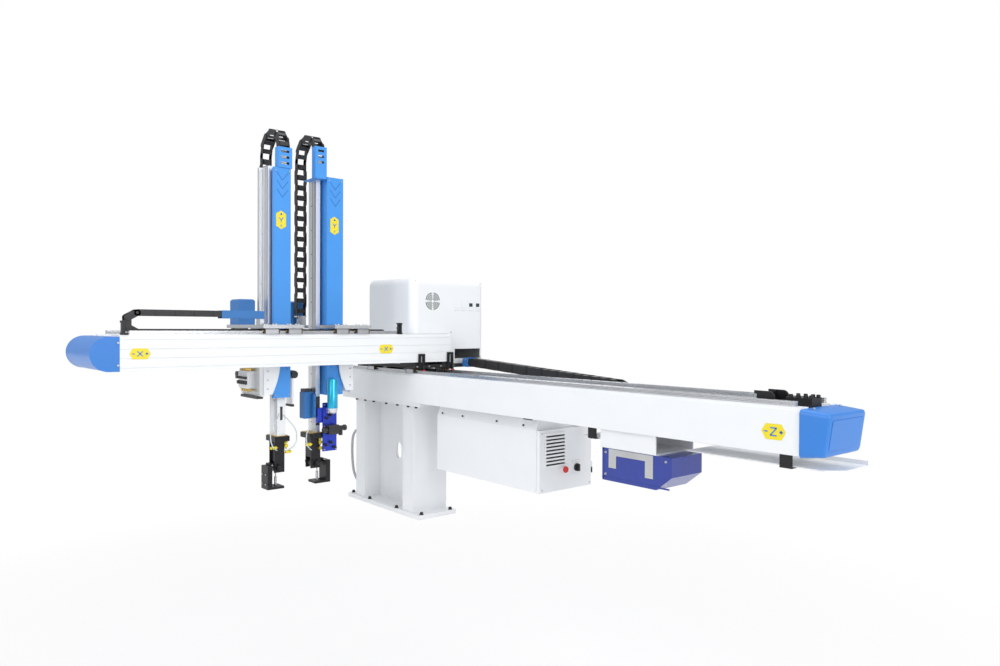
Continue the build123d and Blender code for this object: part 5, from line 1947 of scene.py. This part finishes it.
@dataclass
class BeamDressing:
    """Dressing of the traverse beam: rail caps, belt anchors, end plate and cap screws."""

    def build(self) -> None:
        """Makes the beam's pieces."""
        caps = Forge()
        for y in (-127.0, 74.0):
            for i in range(49):
                caps.round(point(-360 + i * 60, y, 835), Z, 4.6 * MM, 0.25 * MM, 14)
        caps.piece("traverse_rail_caps", "base", BLACK_PLASTIC)
        plate = Forge()
        outline = [(2432, 808), (2500, 808), (2500, 832)]
        for i in range(9):
            angle = math.pi / 2 * i / 8
            outline.append((2478 + 22 * math.cos(angle), 838 + 20 * math.sin(angle)))
        outline += [(2422, 858), (2422, 848), (2432, 846)]
        for y in (-84.0, 12.0):
            plate.prism([point(x, y, z) for x, z in outline], Y * 8 * MM, 1 * MM)
        plate.block(point(2440, -76, 808), point(2452, 12, 850), 1 * MM)
        plate.piece("belt_end_plate", "base", ANODISED_BLACK)
        bolts = Forge()
        for x in (2545, 2572, 2599, 2618):
            for y in (-52, -2):
                bolts.screw(point(x, y, 841), Z, 9, True)
        for x in (-390, -360, -330):
            for y in (-52, -2):
                bolts.screw(point(x, y, 841), Z, 8, True)
        bolts.piece("belt_clamp_bolts", "base", BLACK)
        under = Forge()
        for x in (-280, -180, -80, 60, 180, 290, 370):
            under.screw(point(x, -134, 635), -Z, 10, True)
        for x, y in ((-378, -100), (378, -100), (378, 100), (150, -118), (-150, -118)):
            under.screw(point(x, y, 25), Z, 12, True)
        under.piece("pedestal_bolts", "base", BLACK)
        trim = Forge()
        for x, y in ((2662, -118), (2662, 66)):
            trim.screw(point(x, y, 812.5), Z, 5)
        trim.piece("end_cover_fixings", "base", ZINC)


@dataclass
class CabinetDressing:
    """Dressing of the control cabinet and of the static generator under the beam."""

    def build(self) -> None:
        """Makes the cabinet's and the generator's pieces."""
        dots = Forge()
        for x in (520, 700, 980, 1180):
            dots.screw(point(x, -59, 606), -Y, 6)
        for i in range(5):
            dots.round(point(1196 + i * 13, -66, 641), -Y, 5 * MM, 9 * MM, 6, 1 * MM)
        for z in (350, 520):
            for dy in (-16, 16):
                dots.screw(point(1281, 297, z + dy), Y, 4)
        dots.piece("cabinet_screws", "base", BLACK)
        frame_piece = Forge()
        x = 1756.0
        for x0, x1, z0, z1 in ((1755, 2098, 569, 577), (1755, 2098, 451, 458), (1755, 1763, 451, 577)):
            frame_piece.block(point(x0, -137.2, z0), point(x1, -136, z1), 0.3 * MM)
        frame_piece.piece("generator_border", "base", INDIGO)
        screws = Forge()
        for dx in (18, 325):
            for z in (470, 560):
                screws.screw(point(x + dx, -136, z), -Y, 5, True)
        for y in (-110, 30):
            screws.screw(point(2100, y, 545), X, 5)
        screws.piece("generator_screws", "base", ZINC)
        door = Forge()
        for y, z in ((-44, 305), (-44, 574), (284, 305), (284, 574)):
            door.screw(point(1293.5, y, z), X, 4)
        for dy, dz in ((-16, 0), (16, 0), (0, 18), (0, -18)):
            door.round(point(1293.5, 184 + dy, 392 + dz * 1.6), X, 2 * MM, 0.8 * MM, 12)
        door.piece("door_marks", "cabinet_door", ZINC)


def main() -> None:
    """Builds the studio and every sub-assembly in order."""
    logging.basicConfig(level=logging.INFO, format="%(name)s: %(message)s")
    Studio().build()
    dress_nodes(frame["nodes"])
    TraverseChain().build()
    CrossChain().build()
    ArmChain("sub", -827.0).build()
    ArmChain("main", -626.0).build()
    hoses()
    CrosswisePair().build()
    BeamEndCover().build()
    axis_plates()
    Carriage("sub", -946.0, 1, (-980.0, -861.0)).build()
    Carriage("main", -437.0, -1, (-599.0, -479.0)).build()
    ArmCover("sub", "sub_stage2", -842.0, 710.0, 1894.0).build()
    ArmCover("main", "main_stage1", -541.0, 710.0, 1880.0).build()
    ProfileTrim().build()
    SubValves().build()
    Wrist("sub", -825.5, 1).build()
    Wrist("main", -630.0, -1).build()
    VacuumUnit().build()
    BoxDressing().build()
    DeckDressing().build()
    BeamDressing().build()
    CabinetDressing().build()


if __name__ == "__main__":
    main()
